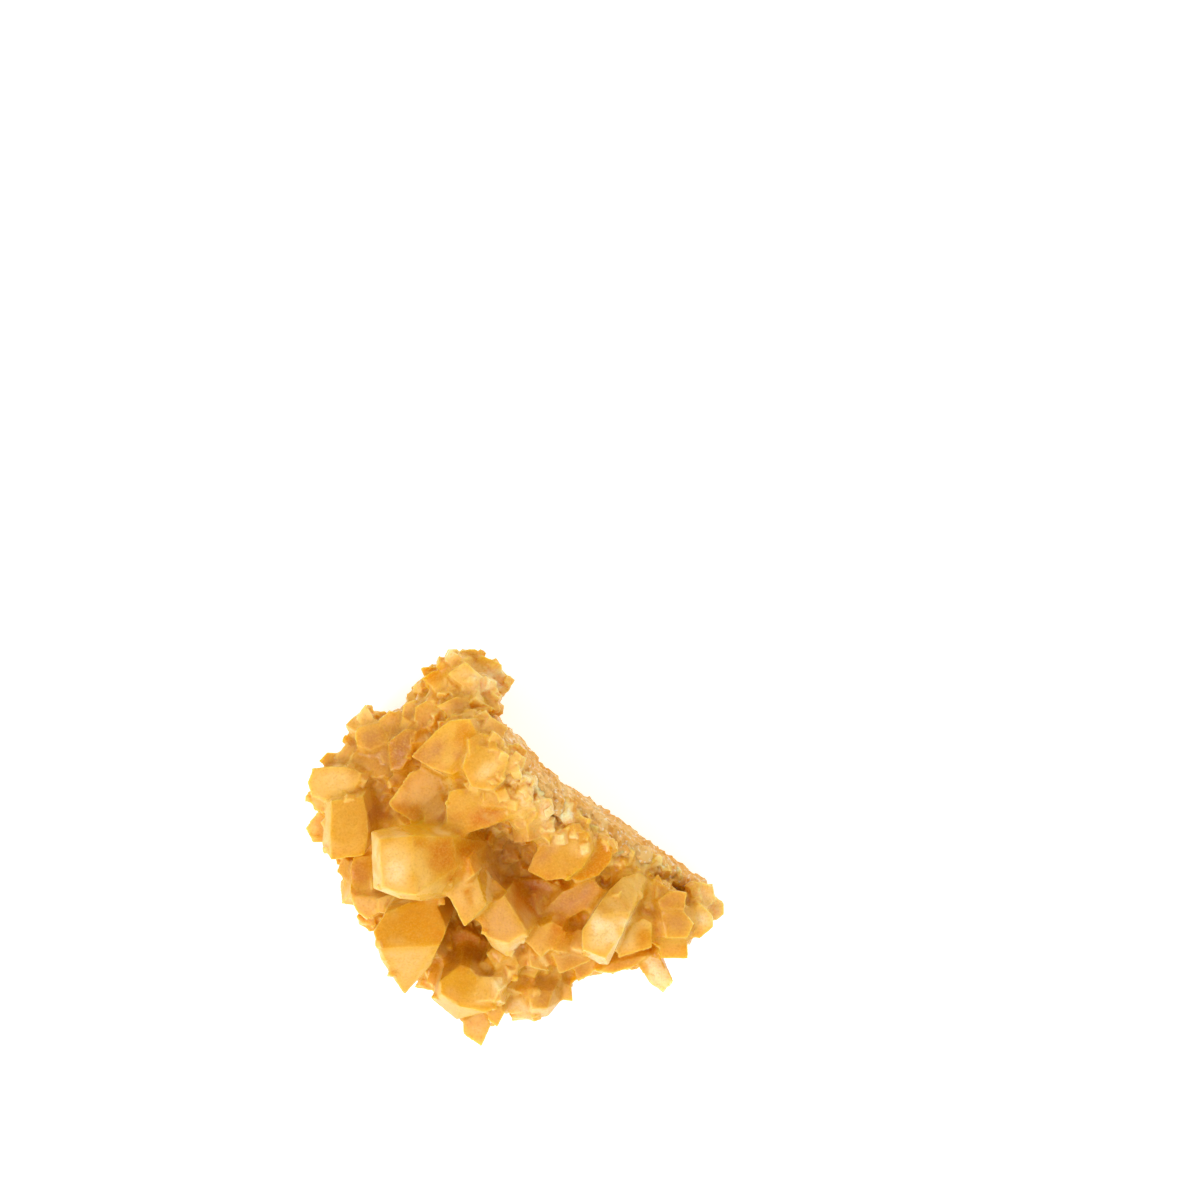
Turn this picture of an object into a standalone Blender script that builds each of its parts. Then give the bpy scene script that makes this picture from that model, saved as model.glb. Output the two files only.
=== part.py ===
"""Cluster of honey-coloured calcite crystals on a broken piece of its matrix.

The matrix is a thick, bent shard of sugary rock: low on the left and below, with a wall along its upper
right edge. One crust of crystals, all grown together, covers its top and hangs over its other edges.
Lengths below are in millimetres and become metres as each mesh is made. The frame has X to the right, Y
away and Z up, with its origin at the bottom centre of the cluster.
"""

import math
import random

import bmesh
import bpy
from mathutils import Matrix, Vector
from mathutils.geometry import delaunay_2d_cdt, intersect_point_line

MM = 0.001
GAP = 0.32  # between the matrix and the crust, which touch in the real stone
CRUST_DEPTH = 2.2  # how far the crust's upper surface stands above the matrix

# The matrix's outline seen from above, counter-clockwise: the wall's outer edge, then the edges that
# the crystals hang over
OUTLINE = [
    (28.0, -7.0), (26.8, -5.3), (24.7, -3.8), (20.4, -0.6), (14.7, 3.4), (10.3, 6.6), (6.2, 9.1),
    (3.1, 12.0), (1.0, 15.0), (-1.7, 17.2), (-3.4, 19.0), (-3.3, 21.2), (-2.3, 23.6),
    (-4.4, 25.6), (-7.0, 26.2), (-9.9, 25.2), (-11.6, 23.2), (-12.9, 21.0), (-14.8, 18.7),
    (-17.1, 17.3), (-19.6, 15.9), (-22.0, 13.6), (-24.4, 11.3), (-26.2, 8.8), (-26.6, 6.0),
    (-25.4, 2.4), (-23.2, -1.2), (-21.4, -4.8), (-19.6, -8.4), (-18.0, -12.7), (-15.6, -16.4),
    (-12.0, -18.0), (-9.1, -20.6), (-5.8, -23.4), (-1.5, -22.3), (2.8, -20.8), (6.4, -18.3),
    (11.4, -16.1), (17.2, -14.4), (22.5, -12.6), (26.3, -10.4),
]

# The outline of the druse between the crystals: inside the wall, and past the matrix's other edges
BED_OUTLINE = [
    (24.9, -8.9), (21.6, -6.9), (17.4, -4.0), (13.0, -1.0), (8.6, 2.1), (4.5, 4.8), (1.5, 7.4),
    (-1.4, 10.2), (-3.9, 13.7), (-6.3, 17.0), (-7.4, 20.8), (-7.6, 23.6), (-10.0, 26.0),
    (-12.6, 24.0), (-14.0, 21.6), (-15.6, 19.6), (-17.7, 18.4), (-20.3, 16.9), (-22.9, 14.5),
    (-25.4, 12.0), (-27.4, 9.0), (-27.8, 6.0), (-26.6, 2.2), (-24.3, -1.6), (-22.6, -5.2),
    (-20.8, -8.8), (-19.1, -13.3), (-16.5, -17.3), (-12.7, -19.0), (-9.7, -21.6), (-6.0, -24.6),
    (-1.2, -23.5), (3.4, -21.9), (7.0, -19.4), (11.8, -17.3), (17.6, -15.6), (23.0, -13.7),
    (26.6, -11.6),
]

# The upper surface that the crystals grow from: a floor with hills (x, y, height, spread)
FLOOR = 4.0
HILLS = [
    (-4.0, 12.0, 12.5, 6.5),
    (2.0, 8.0, 8.5, 5.5),
    (9.0, 2.5, 8.5, 5.5),
    (17.0, -3.0, 5.5, 6.0),
    (-8.0, 22.0, 8.0, 6.5),
    (-15.0, 6.0, 3.5, 7.0),
    (-12.0, -3.0, 3.5, 6.0),
    (-9.0, -12.0, 3.0, 6.0),
]

# The wall's crest, bare rock along the upper right edge
CREST = [
    (-4.4, 24.2), (-4.8, 20.8), (-3.9, 18.0), (-1.6, 15.0), (0.7, 11.8), (3.2, 9.3), (6.1, 6.9),
    (10.1, 4.2), (14.5, 1.1), (18.9, -1.9), (23.2, -4.8), (25.8, -6.8),
]
WALL_RISE = 2.0  # of its crest above the crust
WALL_WIDTH = 1.7

# The matrix's sides from the rim down to the foot: how far out from the outline, and share of the height
ROCK_SIDE = [(-0.9, 1.0), (-0.2, 0.8), (0.0, 0.55), (-0.3, 0.25), (-1.2, 0.0)]
ROCK_EDGE = 2.4  # longest edge of its outline
ROUGH = 0.35  # how far each point of the sides lies in or out at random
GRAIN = 0.5  # how far each point of the wall lies up or down at random
FLOOR_GRAIN = 0.15  # and each point elsewhere
ROCK_MARGIN = 1.9  # between its outline and the points of its upper surface

# The points of the upper surfaces
CREST_STEP = 1.3  # distance between points on the wall, which is finer than the rest
CREST_SIDE = 2.6  # distance from the crest that counts as wall
FLOOR_STEPS = 4  # the rest has one in so many of these points, each way
JITTER = 0.2  # how far a point lies off its grid, as a share of CREST_STEP

# The hollow that the matrix leaves in the crust
SIDE_GAP = 1.3 * GAP  # outward, where the sides slope
STEEPEST = 0.3  # a face's upward share of its normal, under which the gap grows no more

# The druse between the crystals, a skin over the matrix
BED_SIDE = [(-0.8, 1.0), (0.0, 0.65), (0.0, 0.3), (-1.5, 0.0)]
BED_DEPTH = 5.5
BED_LOWEST = 0.9  # above the foot
BED_MARGIN = 2.5

# Small rhombs: how many, their sizes, and how much they lean at random
LEAN = math.radians(63.7)  # between a calcite rhombohedron's edges and its long axis
GAP_RHOMBS = 58
GAP_RHOMB_SIZES = (1.5, 2.8)
GAP_RHOMB_STRETCH = (0.9, 1.3)
GAP_RHOMB_RISE = 0.15  # of its middle above the druse, as a share of its size
GAP_RHOMB_REACH = 3.0  # nearest to the crest
RIM_RHOMB_STEP = 3.0  # longest way between them round the rim
RIM_RHOMB_SIZES = (2.0, 3.2)
RIM_RHOMB_STRETCH = (0.9, 1.2)
RIM_RHOMB_INSET = 0.35  # share of its size
RIM_RHOMB_DROP = (1.0, 3.0)  # below the druse
RIM_RHOMB_LOWEST = 1.3  # height above the foot, as a share of its size
RIM_RHOMB_REACH = 5.5  # nearest to the crest
WILDNESS = 0.4  # lean of the rhombs at random

FLAT_ANGLE = math.radians(0.3)  # facets closer than this to one plane become one

# The crystals, each named for where it stands. A crystal lies between its flat outer face and the same
# outline at its root, which is moved by root and scaled by taper. The face's height is that at its
# middle, slope is how it tilts along X and Y, and shoulder has the points (x, y, z) of other faces.
CRYSTALS = {
    "barrel": dict(
        height=27, slope=(0.06, -0.03), root=(10, 0, -15), taper=1,
        face=[(-18.8, 1.9), (-14.1, 2.4), (-13.6, -5.9), (-16.1, -5.6), (-18.3, -4.8)],
        shoulder=[(-20, 2.9, 24), (-19.7, -5.1, 24), (-8.6, 2, 23.8), (-7.7, -2, 23),
                  (-10.1, -5.7, 22.5), (-3.2, 1, 14.5), (-3.8, -1.8, 14), (-16.3, 3.7, 21.5),
                  (-9.7, 3.9, 18.5), (-4.6, 2.9, 15.5), (-16, -6.6, 23), (-12.9, -7, 22),
                  (-9.8, -6.4, 20), (-6.8, -4.3, 16.5)],
    ),
    "lower_left_wedge": dict(
        height=18, slope=(0.02, -0.12), root=(2, 4, -10), taper=0.9,
        face=[(-18.9, -13.9), (-10.5, -13.5), (-9.5, -11.1), (-11, -7.7), (-14.6, -7.3), (-18.4, -9),
              (-19.9, -11.5)],
        shoulder=[(-15.7, -20.8, 12), (-11.9, -16.5, 15.5), (-18.9, -15.6, 16)],
    ),
    "front_rhomb": dict(
        height=21, slope=(-0.1, -0.15), root=(3, 2, -11), taper=0.95,
        face=[(-9.4, -5.9), (-6.2, -1.8), (-5.2, -3.6), (-3.9, -7.6), (-7, -10.7)],
        shoulder=[(-5.2, -1.4, 17.5), (-3.8, -2.6, 16.5), (-2, -6.3, 15), (-3.6, -8.1, 16.5)],
    ),
    "middle_rhomb": dict(
        height=18.5, slope=(0.05, 0.1), root=(2, 3, -10), taper=0.95,
        face=[(-5.1, -9.5), (-1.4, -6.3), (1.8, -11.4), (-0.8, -13.2), (-4, -12.2)],
        shoulder=[(-3.3, -13.7, 15.5), (-1, -15.3, 14.5), (1.1, -13.2, 15.5), (2.7, -11.1, 15.5)],
    ),
    "peach_rhomb": dict(
        height=19, slope=(-0.1, 0.1), root=(7, 1, -11), taper=0.97,
        face=[(-17.8, 6.7), (-14.7, 11.1), (-12.1, 11.7), (-8.6, 9.7), (-10.7, 6.9), (-13.1, 3.3),
              (-17.3, 5.9)],
        shoulder=[(-9.7, 3, 14)],
    ),
    "striped_block": dict(
        height=15, slope=(0.1, -0.15), root=(2, 3, -9), taper=0.97,
        face=[(-26, 6.9), (-21.5, 7.6), (-20.9, 4.9), (-20.7, 2.2), (-21.3, -0.9), (-26, -1.5),
              (-26.1, 2.8)],
        shoulder=[(-26.8, 6.4, 12.5), (-27.4, 0.5, 12.5)],
    ),
    "left_block": dict(
        height=13, slope=(0.15, 0.05), root=(6, 0, -8), taper=0.95,
        face=[(-28.8, 11.5), (-24.1, 11.8), (-21.8, 10.8), (-22, 9.6), (-23.2, 8.2), (-26.5, 6.8),
              (-28.9, 7.4), (-29.5, 9.4)],
    ),
    "left_block_foot": dict(
        height=11, slope=(0.2, 0.1), root=(6, 1, -5), taper=0.95,
        face=[(-29.7, 8), (-28, 8.6), (-26.7, 6.9), (-27, 5.2), (-28.7, 5.3)],
    ),
    "long_prism": dict(
        height=20.5, slope=(0, -0.12), root=(2, 3, -11), taper=0.95,
        face=[(9.6, -11.1), (11, -8.9), (13.8, -8.9), (16.4, -8.7), (15.2, -11.8), (13, -15.1),
              (9.7, -13.9)],
        shoulder=[(13.3, -5.8, 17.5), (15.3, -3.9, 15), (17.4, -3.4, 13), (18.7, -4, 12),
                  (18.2, -6.4, 14), (13.3, -16.3, 16), (12.1, -16.2, 16), (9.5, -14.7, 17.5)],
    ),
    "ridge_slab": dict(
        height=23, slope=(0.3, 0.1), root=(4, 0, -10), taper=0.95,
        face=[(-14.5, 13.3), (-11.2, 16.8), (-8.9, 18.5), (-6.1, 18.8), (-5, 16.1), (-7, 12),
              (-8.6, 10.8), (-11.7, 11.8)],
        shoulder=[(-7.4, 9.3, 17)],
    ),
    "ridge_knuckle": dict(
        height=24.5, slope=(0.05, 0.05), root=(0, 0, -10), taper=0.97,
        face=[(-7.2, 11.8), (-6.6, 13.8), (-5, 14.9), (-1.9, 14.6), (-0.9, 12.6), (-1.5, 9.8),
              (-3, 8.6), (-5.9, 9.1)],
    ),
    "ridge_top": dict(
        height=24, slope=(0.1, 0.1), root=(-1, -2, -9), taper=1,
        face=[(-5.4, 15.6), (-4.4, 16.7), (-2.3, 16.1), (-0.8, 14.6), (-1.2, 13.2), (-4, 14.7)],
    ),
    "under_ridge_block": dict(
        height=22, slope=(0.05, 0.2), root=(3, 3, -11), taper=0.95,
        face=[(-9.5, 6.8), (-9.1, 8.4), (-7.8, 8.8), (-4.6, 8.2), (-4.2, 6.4), (0.9, 5.1), (-3.7, 3.3),
              (-8.8, 1.9), (-9.5, 4.1)],
    ),
    "under_ridge_chip": dict(
        height=22.8, slope=(0.1, 0.1), root=(0, 1, -9), taper=0.97,
        face=[(-4.6, 6.8), (-3.7, 8.7), (-1.5, 9.4), (-0.1, 7.7), (-0.6, 6.3), (-3.9, 6.3)],
    ),
    "hollow_back": dict(
        height=12, slope=(-0.2, 0.1), root=(2, 3, -7), taper=1,
        face=[(-3.6, -1.3), (-2.5, 1.5), (0.5, 2.8), (0.9, -0.2), (-1.7, -3.6)],
    ),
    "hollow_chip": dict(
        height=14.5, slope=(0, 0.2), root=(2, 3, -7), taper=1,
        face=[(-4.3, 2.5), (-1.3, 4), (-0.2, 3), (-2.2, 1.6)],
    ),
    "hollow_right": dict(
        height=12.5, slope=(0.1, 0.2), root=(2, 3, -7), taper=1,
        face=[(0.9, 2.8), (3, 3.4), (5, 2.1), (3.9, 0.8), (2.5, -0.2), (1.1, -0.3)],
    ),
    "hollow_floor": dict(
        height=11, slope=(0.05, 0.1), root=(1, 2, -6), taper=1,
        face=[(-1, -3.4), (2.2, -0.5), (4.3, -3.4), (3.7, -8.1), (1.7, -10.9), (-0.4, -7.4)],
    ),
    "double_left": dict(
        height=18.5, slope=(0.05, 0.1), root=(2, 2, -10), taper=0.92,
        face=[(1.8, -3), (2.8, -0.6), (4.5, 1.5), (6.5, 3), (9, 3.3), (10.7, 2.5), (11.2, 0.1),
              (9.7, -2.5), (7.6, -4), (4.4, -4.3)],
    ),
    "double_right": dict(
        height=17.3, slope=(0.05, 0.1), root=(0, 1, -9), taper=0.95,
        face=[(7.9, -4.1), (10.2, -1.7), (11.3, 1.1), (12.6, 1.7), (14, 0.3), (13.7, -1.7),
              (11.9, -3.7), (9.3, -4.5)],
    ),
    "long_peach": dict(
        height=13.5, slope=(0.12, 0.4), root=(-1, 3, -7), taper=0.97,
        face=[(4, -10.8), (4.5, -8.4), (7, -6), (11, -4.3), (12.1, -5.3), (11, -8.1), (7.3, -10.2)],
    ),
    "hollow_peach": dict(
        height=12, slope=(0.15, 0.2), root=(1, 3, -7), taper=1,
        face=[(0.8, -4.5), (4, -4.3), (6.3, -5.5), (4, -8.2), (2.2, -7.6)],
    ),
    "right_of_prism": dict(
        height=13, slope=(0, 0.1), root=(0, 4, -7), taper=0.97,
        face=[(15.3, -12.2), (18.1, -9.8), (19.5, -10.5), (19.5, -14.1), (14.6, -15.6)],
    ),
    "arm_floor": dict(
        height=9.5, slope=(0, 0.1), root=(0, 5, -4.5), taper=1,
        face=[(11.3, -17.7), (14.6, -16.1), (19, -15.3), (16.4, -17.3), (13.3, -18.1)],
    ),
    "arm_spur": dict(
        height=9, slope=(0, 0.1), root=(-2, 5, -3), taper=0.97,
        face=[(17.4, -16.7), (19.4, -15.4), (20.8, -16), (22.7, -19.2), (21.3, -21), (19.3, -19.4)],
    ),
    "arm_block": dict(
        height=11, slope=(0, -0.1), root=(-1, 4, -6), taper=1,
        face=[(20.3, -12.5), (24.7, -12.9), (24.7, -15.8), (20.8, -15.8)],
    ),
    "arm_step": dict(
        height=13, slope=(0, 0.1), root=(-1, 1, -7), taper=1,
        face=[(20.5, -8.4), (24.2, -9), (25.5, -10.7), (24.6, -12.7), (21.4, -12.7)],
    ),
    "arm_tip": dict(
        height=11, slope=(-0.1, 0.05), root=(-3, 2, -6), taper=1,
        face=[(25, -9.1), (26.4, -7.8), (28.2, -9.5), (28.4, -11.2), (26.4, -12.9), (25.2, -12.6)],
    ),
    "arm_back": dict(
        height=13.8, slope=(0, 0.1), root=(-1, 0, -6), taper=1,
        face=[(20.2, -7.4), (22.2, -5.8), (24.5, -6.1), (24.2, -8.4), (20.7, -8.4)],
    ),
    "lower_rhomb": dict(
        height=14, slope=(0.05, 0.1), root=(2, 4, -7), taper=0.97,
        face=[(1.6, -13.2), (2.8, -11.3), (5.2, -10.3), (6.9, -11.2), (4.9, -14.2), (3.8, -15.6)],
    ),
    "lower_block": dict(
        height=12.5, slope=(0, 0.1), root=(1, 4, -7), taper=0.97,
        face=[(5, -14.1), (5.9, -13.1), (9.3, -12.8), (10.9, -14.4), (10.7, -16.1), (6.3, -17.9)],
    ),
    "lower_chip": dict(
        height=9, slope=(0, 0.1), root=(0, 4, -4), taper=1,
        face=[(8.1, -16.9), (9.7, -15.7), (11.3, -16.3), (11, -18.2), (9, -19.2)],
    ),
    "yellow_block": dict(
        height=14, slope=(0, -0.1), root=(1, 5, -8), taper=0.95,
        face=[(-10.4, -20.6), (-10.6, -18.7), (-7.7, -16.4), (-6.3, -17), (-5.2, -19), (-2.8, -21.4),
              (-2.5, -22.5), (-3.9, -23.1), (-7.7, -22.4)],
        shoulder=[(-11.9, -21.5, 10.5), (-8.3, -24.5, 9.5), (-7.4, -23.8, 10)],
    ),
    "yellow_step": dict(
        height=11, slope=(0, 0), root=(1, 5, -6), taper=0.97,
        face=[(-2.8, -21.5), (-1.4, -23.4), (-2.5, -25.6), (-3.9, -24.4), (-3.9, -22.7)],
    ),
    "bottom_tooth": dict(
        height=9, slope=(0, 0.05), root=(0, 5, -5), taper=0.95,
        face=[(-7.4, -23.6), (-7.1, -25.3), (-7.4, -26.7), (-4.7, -28.5), (-3.4, -25.4), (-4.1, -22.9),
              (-6.4, -22.4)],
    ),
    "bottom_square": dict(
        height=10.5, slope=(0, 0.05), root=(0, 4, -6), taper=1,
        face=[(2, -20.1), (5.4, -20.5), (4.6, -22.8), (2.3, -22.9)],
        shoulder=[(0.7, -19.6, 8), (6.3, -19.3, 8.5), (6.4, -22.1, 8), (4.8, -24.2, 6.5),
                  (2.6, -24.6, 6.5)],
    ),
    "bottom_pale": dict(
        height=7, slope=(0, 0.1), root=(1, 4, -4), taper=1,
        face=[(-0.6, -25), (-0.3, -23.7), (1.8, -22.6), (3.6, -23.3), (2.4, -24.6)],
    ),
    "brown_chip": dict(
        height=12, slope=(0.1, 0), root=(1, 3, -6), taper=1,
        face=[(-5.4, -17.7), (-4.6, -16), (-2.4, -17.1), (-2.8, -19.4), (-1.8, -21.1), (-3.5, -20.1)],
    ),
    "white_sliver": dict(
        height=13.5, slope=(0, 0), root=(1, 3, -6), taper=1,
        face=[(-2.9, -17.9), (-1.8, -17.3), (-1.2, -19), (-1.9, -21.3), (-2.8, -20.2)],
    ),
    "small_square": dict(
        height=13, slope=(0, 0.05), root=(1, 3, -7), taper=1,
        face=[(-4.1, -14.9), (-3.2, -14.1), (-0.1, -14.9), (0.6, -16.4), (0.4, -18.2), (-1.1, -19.3),
              (-2.3, -17.2)],
    ),
    "low_lilac": dict(
        height=10.5, slope=(0, 0.1), root=(1, 3, -5), taper=1,
        face=[(0.6, -16.1), (2.6, -15.5), (3.6, -16.8), (2.9, -18.5), (0.9, -17.9)],
    ),
    "low_left_block": dict(
        height=10, slope=(0.1, 0.1), root=(5, 2, -5), taper=0.97,
        face=[(-23.5, -7.1), (-21.8, -6.7), (-19.5, -7), (-19.2, -9.1), (-21.1, -10.3), (-22.6, -9.4)],
    ),
    "low_left_brown": dict(
        height=9.5, slope=(0.1, 0.05), root=(5, 1, -5), taper=0.97,
        face=[(-23.7, -3.3), (-23.1, -1.3), (-20.5, -1), (-20.1, -5.1), (-21.4, -6.3), (-23.1, -5.4)],
    ),
    "low_left_chip": dict(
        height=9.5, slope=(0, 0), root=(2, 4, -5), taper=1,
        face=[(-12.7, -19.4), (-12.2, -17.8), (-10.7, -17), (-9.7, -17.7), (-11, -19.6)],
    ),
    "left_foot": dict(
        height=9, slope=(0.1, 0.1), root=(5, 1, -4), taper=1,
        face=[(-30, 2.8), (-28.4, 5), (-26.8, 5.1), (-27, 0.8), (-28.5, 0.7), (-29.4, 1.7)],
    ),
    "left_ledge": dict(
        height=10, slope=(0.1, -0.1), root=(4, -2, -5), taper=0.97,
        face=[(-28.1, 12.4), (-26.8, 13.8), (-24.3, 13.5), (-23.9, 11.7), (-26.3, 11.3)],
    ),
    "left_sliver": dict(
        height=10, slope=(0, 0), root=(3, -2, -5), taper=1,
        face=[(-24.2, 13), (-24.2, 15.4), (-23.3, 16.1), (-22.5, 14.5), (-23.1, 13)],
    ),
    "left_brown": dict(
        height=12, slope=(0.1, 0), root=(4, 0, -6), taper=1,
        face=[(-24, 11.7), (-23.1, 13.6), (-20.4, 13.2), (-18.3, 12.5), (-18.2, 10.9), (-19.1, 10),
              (-21.6, 10.5)],
    ),
    "left_gap_a": dict(
        height=11, slope=(0.1, 0), root=(3, 1, -5), taper=1,
        face=[(-21.2, 9.9), (-18, 10.2), (-16.6, 8), (-18.9, 6.7), (-19.9, 7.5)],
    ),
    "left_gap_b": dict(
        height=13.5, slope=(0.1, 0.1), root=(3, 1, -6), taper=1,
        face=[(-18, 9.8), (-17, 10.8), (-15.3, 10.2), (-16.5, 8.2)],
    ),
    "left_gap_c": dict(
        height=9.5, slope=(0.1, 0.1), root=(3, 1, -4), taper=1,
        face=[(-21.5, 6.8), (-20.5, 7.5), (-19.2, 6.8), (-19.4, 5.4), (-20.5, 4.7)],
    ),
    "pale_point": dict(
        height=11, slope=(0.1, -0.1), root=(3, -5, -4), taper=0.97,
        face=[(-22.7, 17.8), (-21.2, 20.4), (-20, 19.3), (-19, 17.7), (-22.3, 17.1)],
    ),
    "upper_left_block": dict(
        height=13, slope=(0.15, 0), root=(4, -3, -7), taper=0.97,
        face=[(-22.4, 17.3), (-19.4, 18), (-18.1, 16.2), (-18.4, 15), (-20.5, 14), (-22.5, 14.6),
              (-22.8, 16.3)],
    ),
    "upper_left_rhomb": dict(
        height=13, slope=(0, 0), root=(3, -3, -6), taper=1,
        face=[(-19.4, 18.3), (-17.8, 19.7), (-16, 19.3), (-15.3, 18.5), (-16, 17.7), (-16.8, 16.3),
              (-18.1, 15.3)],
    ),
    "upper_blade": dict(
        height=15.5, slope=(0.25, 0.1), root=(4, 1, -8), taper=0.97,
        face=[(-18, 15.1), (-16.9, 16.1), (-15.3, 17.2), (-13.8, 16.8), (-14.5, 14), (-15.9, 11.3),
              (-17.7, 11.1)],
    ),
    "neck_block": dict(
        height=16, slope=(0.1, 0.1), root=(3, 0, -8), taper=0.97,
        face=[(-14.1, 20.2), (-12.5, 21.1), (-10.8, 19.9), (-10.7, 17.4), (-13.1, 17), (-14.2, 18.5)],
    ),
    "neck_plate": dict(
        height=18.5, slope=(0.1, 0.1), root=(1, 0, -6), taper=1,
        face=[(-11, 20.4), (-8.3, 21.7), (-4.8, 21.2), (-2.8, 20.1), (-4.8, 19), (-8.8, 18.7)],
    ),
    "knob_rhomb": dict(
        height=18, slope=(0.1, 0.1), root=(1, -2, -6), taper=0.97,
        face=[(-9.5, 25), (-6.9, 26.7), (-4.5, 24.6), (-5.1, 23.8), (-7.2, 23.1)],
    ),
    "knob_right": dict(
        height=17.5, slope=(0, 0.1), root=(-1, 0, -5), taper=1,
        face=[(-6.1, 22.9), (-4.7, 24.5), (-3.4, 24), (-2.3, 21.4), (-4.1, 21.5)],
    ),
    "knob_left": dict(
        height=16, slope=(0.1, 0), root=(3, -1, -6), taper=0.97,
        face=[(-13.2, 24.2), (-11.4, 25.4), (-9.2, 24.9), (-7.5, 23), (-10.4, 21.8)],
    ),
    "knob_tooth_a": dict(
        height=13.5, slope=(0.1, 0), root=(3, -1, -4), taper=0.97,
        face=[(-13.6, 25.8), (-11.4, 26), (-10.9, 25.1), (-12.8, 24.4)],
    ),
    "knob_tooth_b": dict(
        height=13, slope=(0.1, 0), root=(3, -1, -4), taper=0.97,
        face=[(-14.6, 23), (-12.9, 23.7), (-12, 22.9), (-13.3, 21.6)],
    ),
    "knob_upper": dict(
        height=16, slope=(0, -0.1), root=(2, -3, -5), taper=1,
        face=[(-10.2, 27.1), (-7.8, 27.6), (-7.3, 26.9), (-9.2, 25.4), (-10.8, 25.7)],
    ),
    "knob_crown": dict(
        height=14.5, slope=(0, -0.1), root=(1, -3, -5), taper=1,
        face=[(-7.9, 28.3), (-5.6, 28.5), (-4.6, 27.8), (-6, 26.8), (-7.4, 26.8)],
    ),
    "knob_shoulder": dict(
        height=15.5, slope=(0, 0), root=(-2, -2, -5), taper=1,
        face=[(-4.7, 27.7), (-1.7, 26.3), (-1.7, 25.2), (-3.4, 24.6), (-5.1, 26.4)],
    ),
    "knob_side": dict(
        height=14.5, slope=(0, 0), root=(-2, -1, -5), taper=1,
        face=[(-2.6, 24.6), (-1.5, 25.4), (-0.8, 24.4), (-0.9, 22.9), (-2, 21.9), (-3.2, 22.6)],
    ),
    "knob_pale": dict(
        height=13, slope=(0, 0), root=(2, -3, -4), taper=1,
        face=[(-10, 27.4), (-9.5, 28.4), (-8.2, 28.5), (-7.6, 27.5), (-9.2, 26.8)],
    ),
    "ridge_back": dict(
        height=20.5, slope=(0.15, 0.1), root=(0, -2, -8), taper=0.97,
        face=[(-10.3, 18), (-8.6, 19.3), (-5, 19.4), (-2.4, 18.2), (-2.1, 16.1), (-4.8, 15.5),
              (-7.3, 16.5)],
    ),
    "neck_left": dict(
        height=14.5, slope=(0.1, 0.1), root=(3, -2, -7), taper=0.97,
        face=[(-16.1, 19.3), (-15.7, 20.7), (-14.2, 21.3), (-13.5, 20.2), (-14.4, 18.5), (-15.5, 18.2)],
    ),
    "knob_foot": dict(
        height=14.5, slope=(0.1, 0.1), root=(3, -1, -5), taper=0.97,
        face=[(-12.8, 21.6), (-12, 22.9), (-10.4, 21.6), (-10.8, 20.3), (-12.3, 20.6)],
    ),
    "knob_slab": dict(
        height=16.5, slope=(0.1, 0.1), root=(2, -1, -5), taper=0.97,
        face=[(-10.6, 20.6), (-8.8, 21.8), (-7, 22.3), (-6.7, 21.2), (-9.1, 20.2)],
    ),
    "tiny_blade": dict(
        height=10.5, slope=(0.1, 0), root=(3, -3, -4), taper=0.97,
        face=[(-20.5, 18.4), (-19.6, 19.5), (-18.6, 19.8), (-19.1, 18.7)],
    ),
    "left_gap_d": dict(
        height=12.5, slope=(0.1, 0.1), root=(3, 0, -6), taper=0.97,
        face=[(-19.3, 13.8), (-18, 15.2), (-17.1, 14.3), (-17.6, 12.2), (-18.7, 12.3)],
    ),
    "edge_a": dict(
        height=7.5, slope=(0.2, 0.1), root=(4, 1, -4), taper=0.97,
        face=[(-25, -3.5), (-23.9, -2.8), (-23, -4.1), (-23.4, -5.8), (-24.6, -5.4)],
    ),
    "edge_b": dict(
        height=7, slope=(0.2, 0.1), root=(4, 1, -4), taper=0.97,
        face=[(-24.8, -5.8), (-23.6, -5.3), (-22.9, -6.5), (-23.5, -8), (-24.5, -7.3)],
    ),
    "edge_c": dict(
        height=6.5, slope=(0.1, 0.1), root=(4, 2, -4), taper=0.97,
        face=[(-22.5, -8.9), (-21.1, -9.1), (-19.9, -10.6), (-21.1, -12), (-22.1, -11.3)],
    ),
    "low_left_pale": dict(
        height=10.8, slope=(0.1, 0.1), root=(4, 2, -6), taper=0.97,
        face=[(-19.6, -7.2), (-17.3, -6.4), (-16.5, -7.5), (-17.8, -9.4), (-19.3, -9.2)],
    ),
    "shadow_chip": dict(
        height=11, slope=(0.1, 0.1), root=(2, 3, -6), taper=0.97,
        face=[(-11.8, -7.2), (-9.8, -6.4), (-8.4, -8.5), (-9.1, -9.6), (-10.6, -8.6)],
    ),
    "low_hollow": dict(
        height=9, slope=(0.1, 0.15), root=(1, 3, -5), taper=0.97,
        face=[(-9.3, -12), (-7, -11.7), (-5, -12.9), (-5.3, -15.3), (-7.8, -16.2), (-9.5, -14.4)],
    ),
    "under_wedge": dict(
        height=6.5, slope=(0.1, 0.1), root=(3, 4, -4), taper=0.97,
        face=[(-14.6, -20.2), (-12.9, -18), (-11.2, -19.4), (-11.6, -20.7)],
    ),
    "low_step": dict(
        height=8.5, slope=(0.1, 0.1), root=(1, 4, -5), taper=0.97,
        face=[(3.6, -16.2), (4.9, -15.3), (6.4, -16.8), (6.7, -18.9), (4.4, -19.3), (3.3, -17.8)],
    ),
    "bottom_corner": dict(
        height=8, slope=(0, 0.05), root=(-1, 4, -5), taper=0.97,
        face=[(4.9, -19.5), (6.1, -19.1), (8.1, -19.8), (8.3, -22.2), (6, -21.8)],
    ),
    "bottom_slope": dict(
        height=8.8, slope=(0, -0.1), root=(1, 4, -5), taper=0.97,
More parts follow.
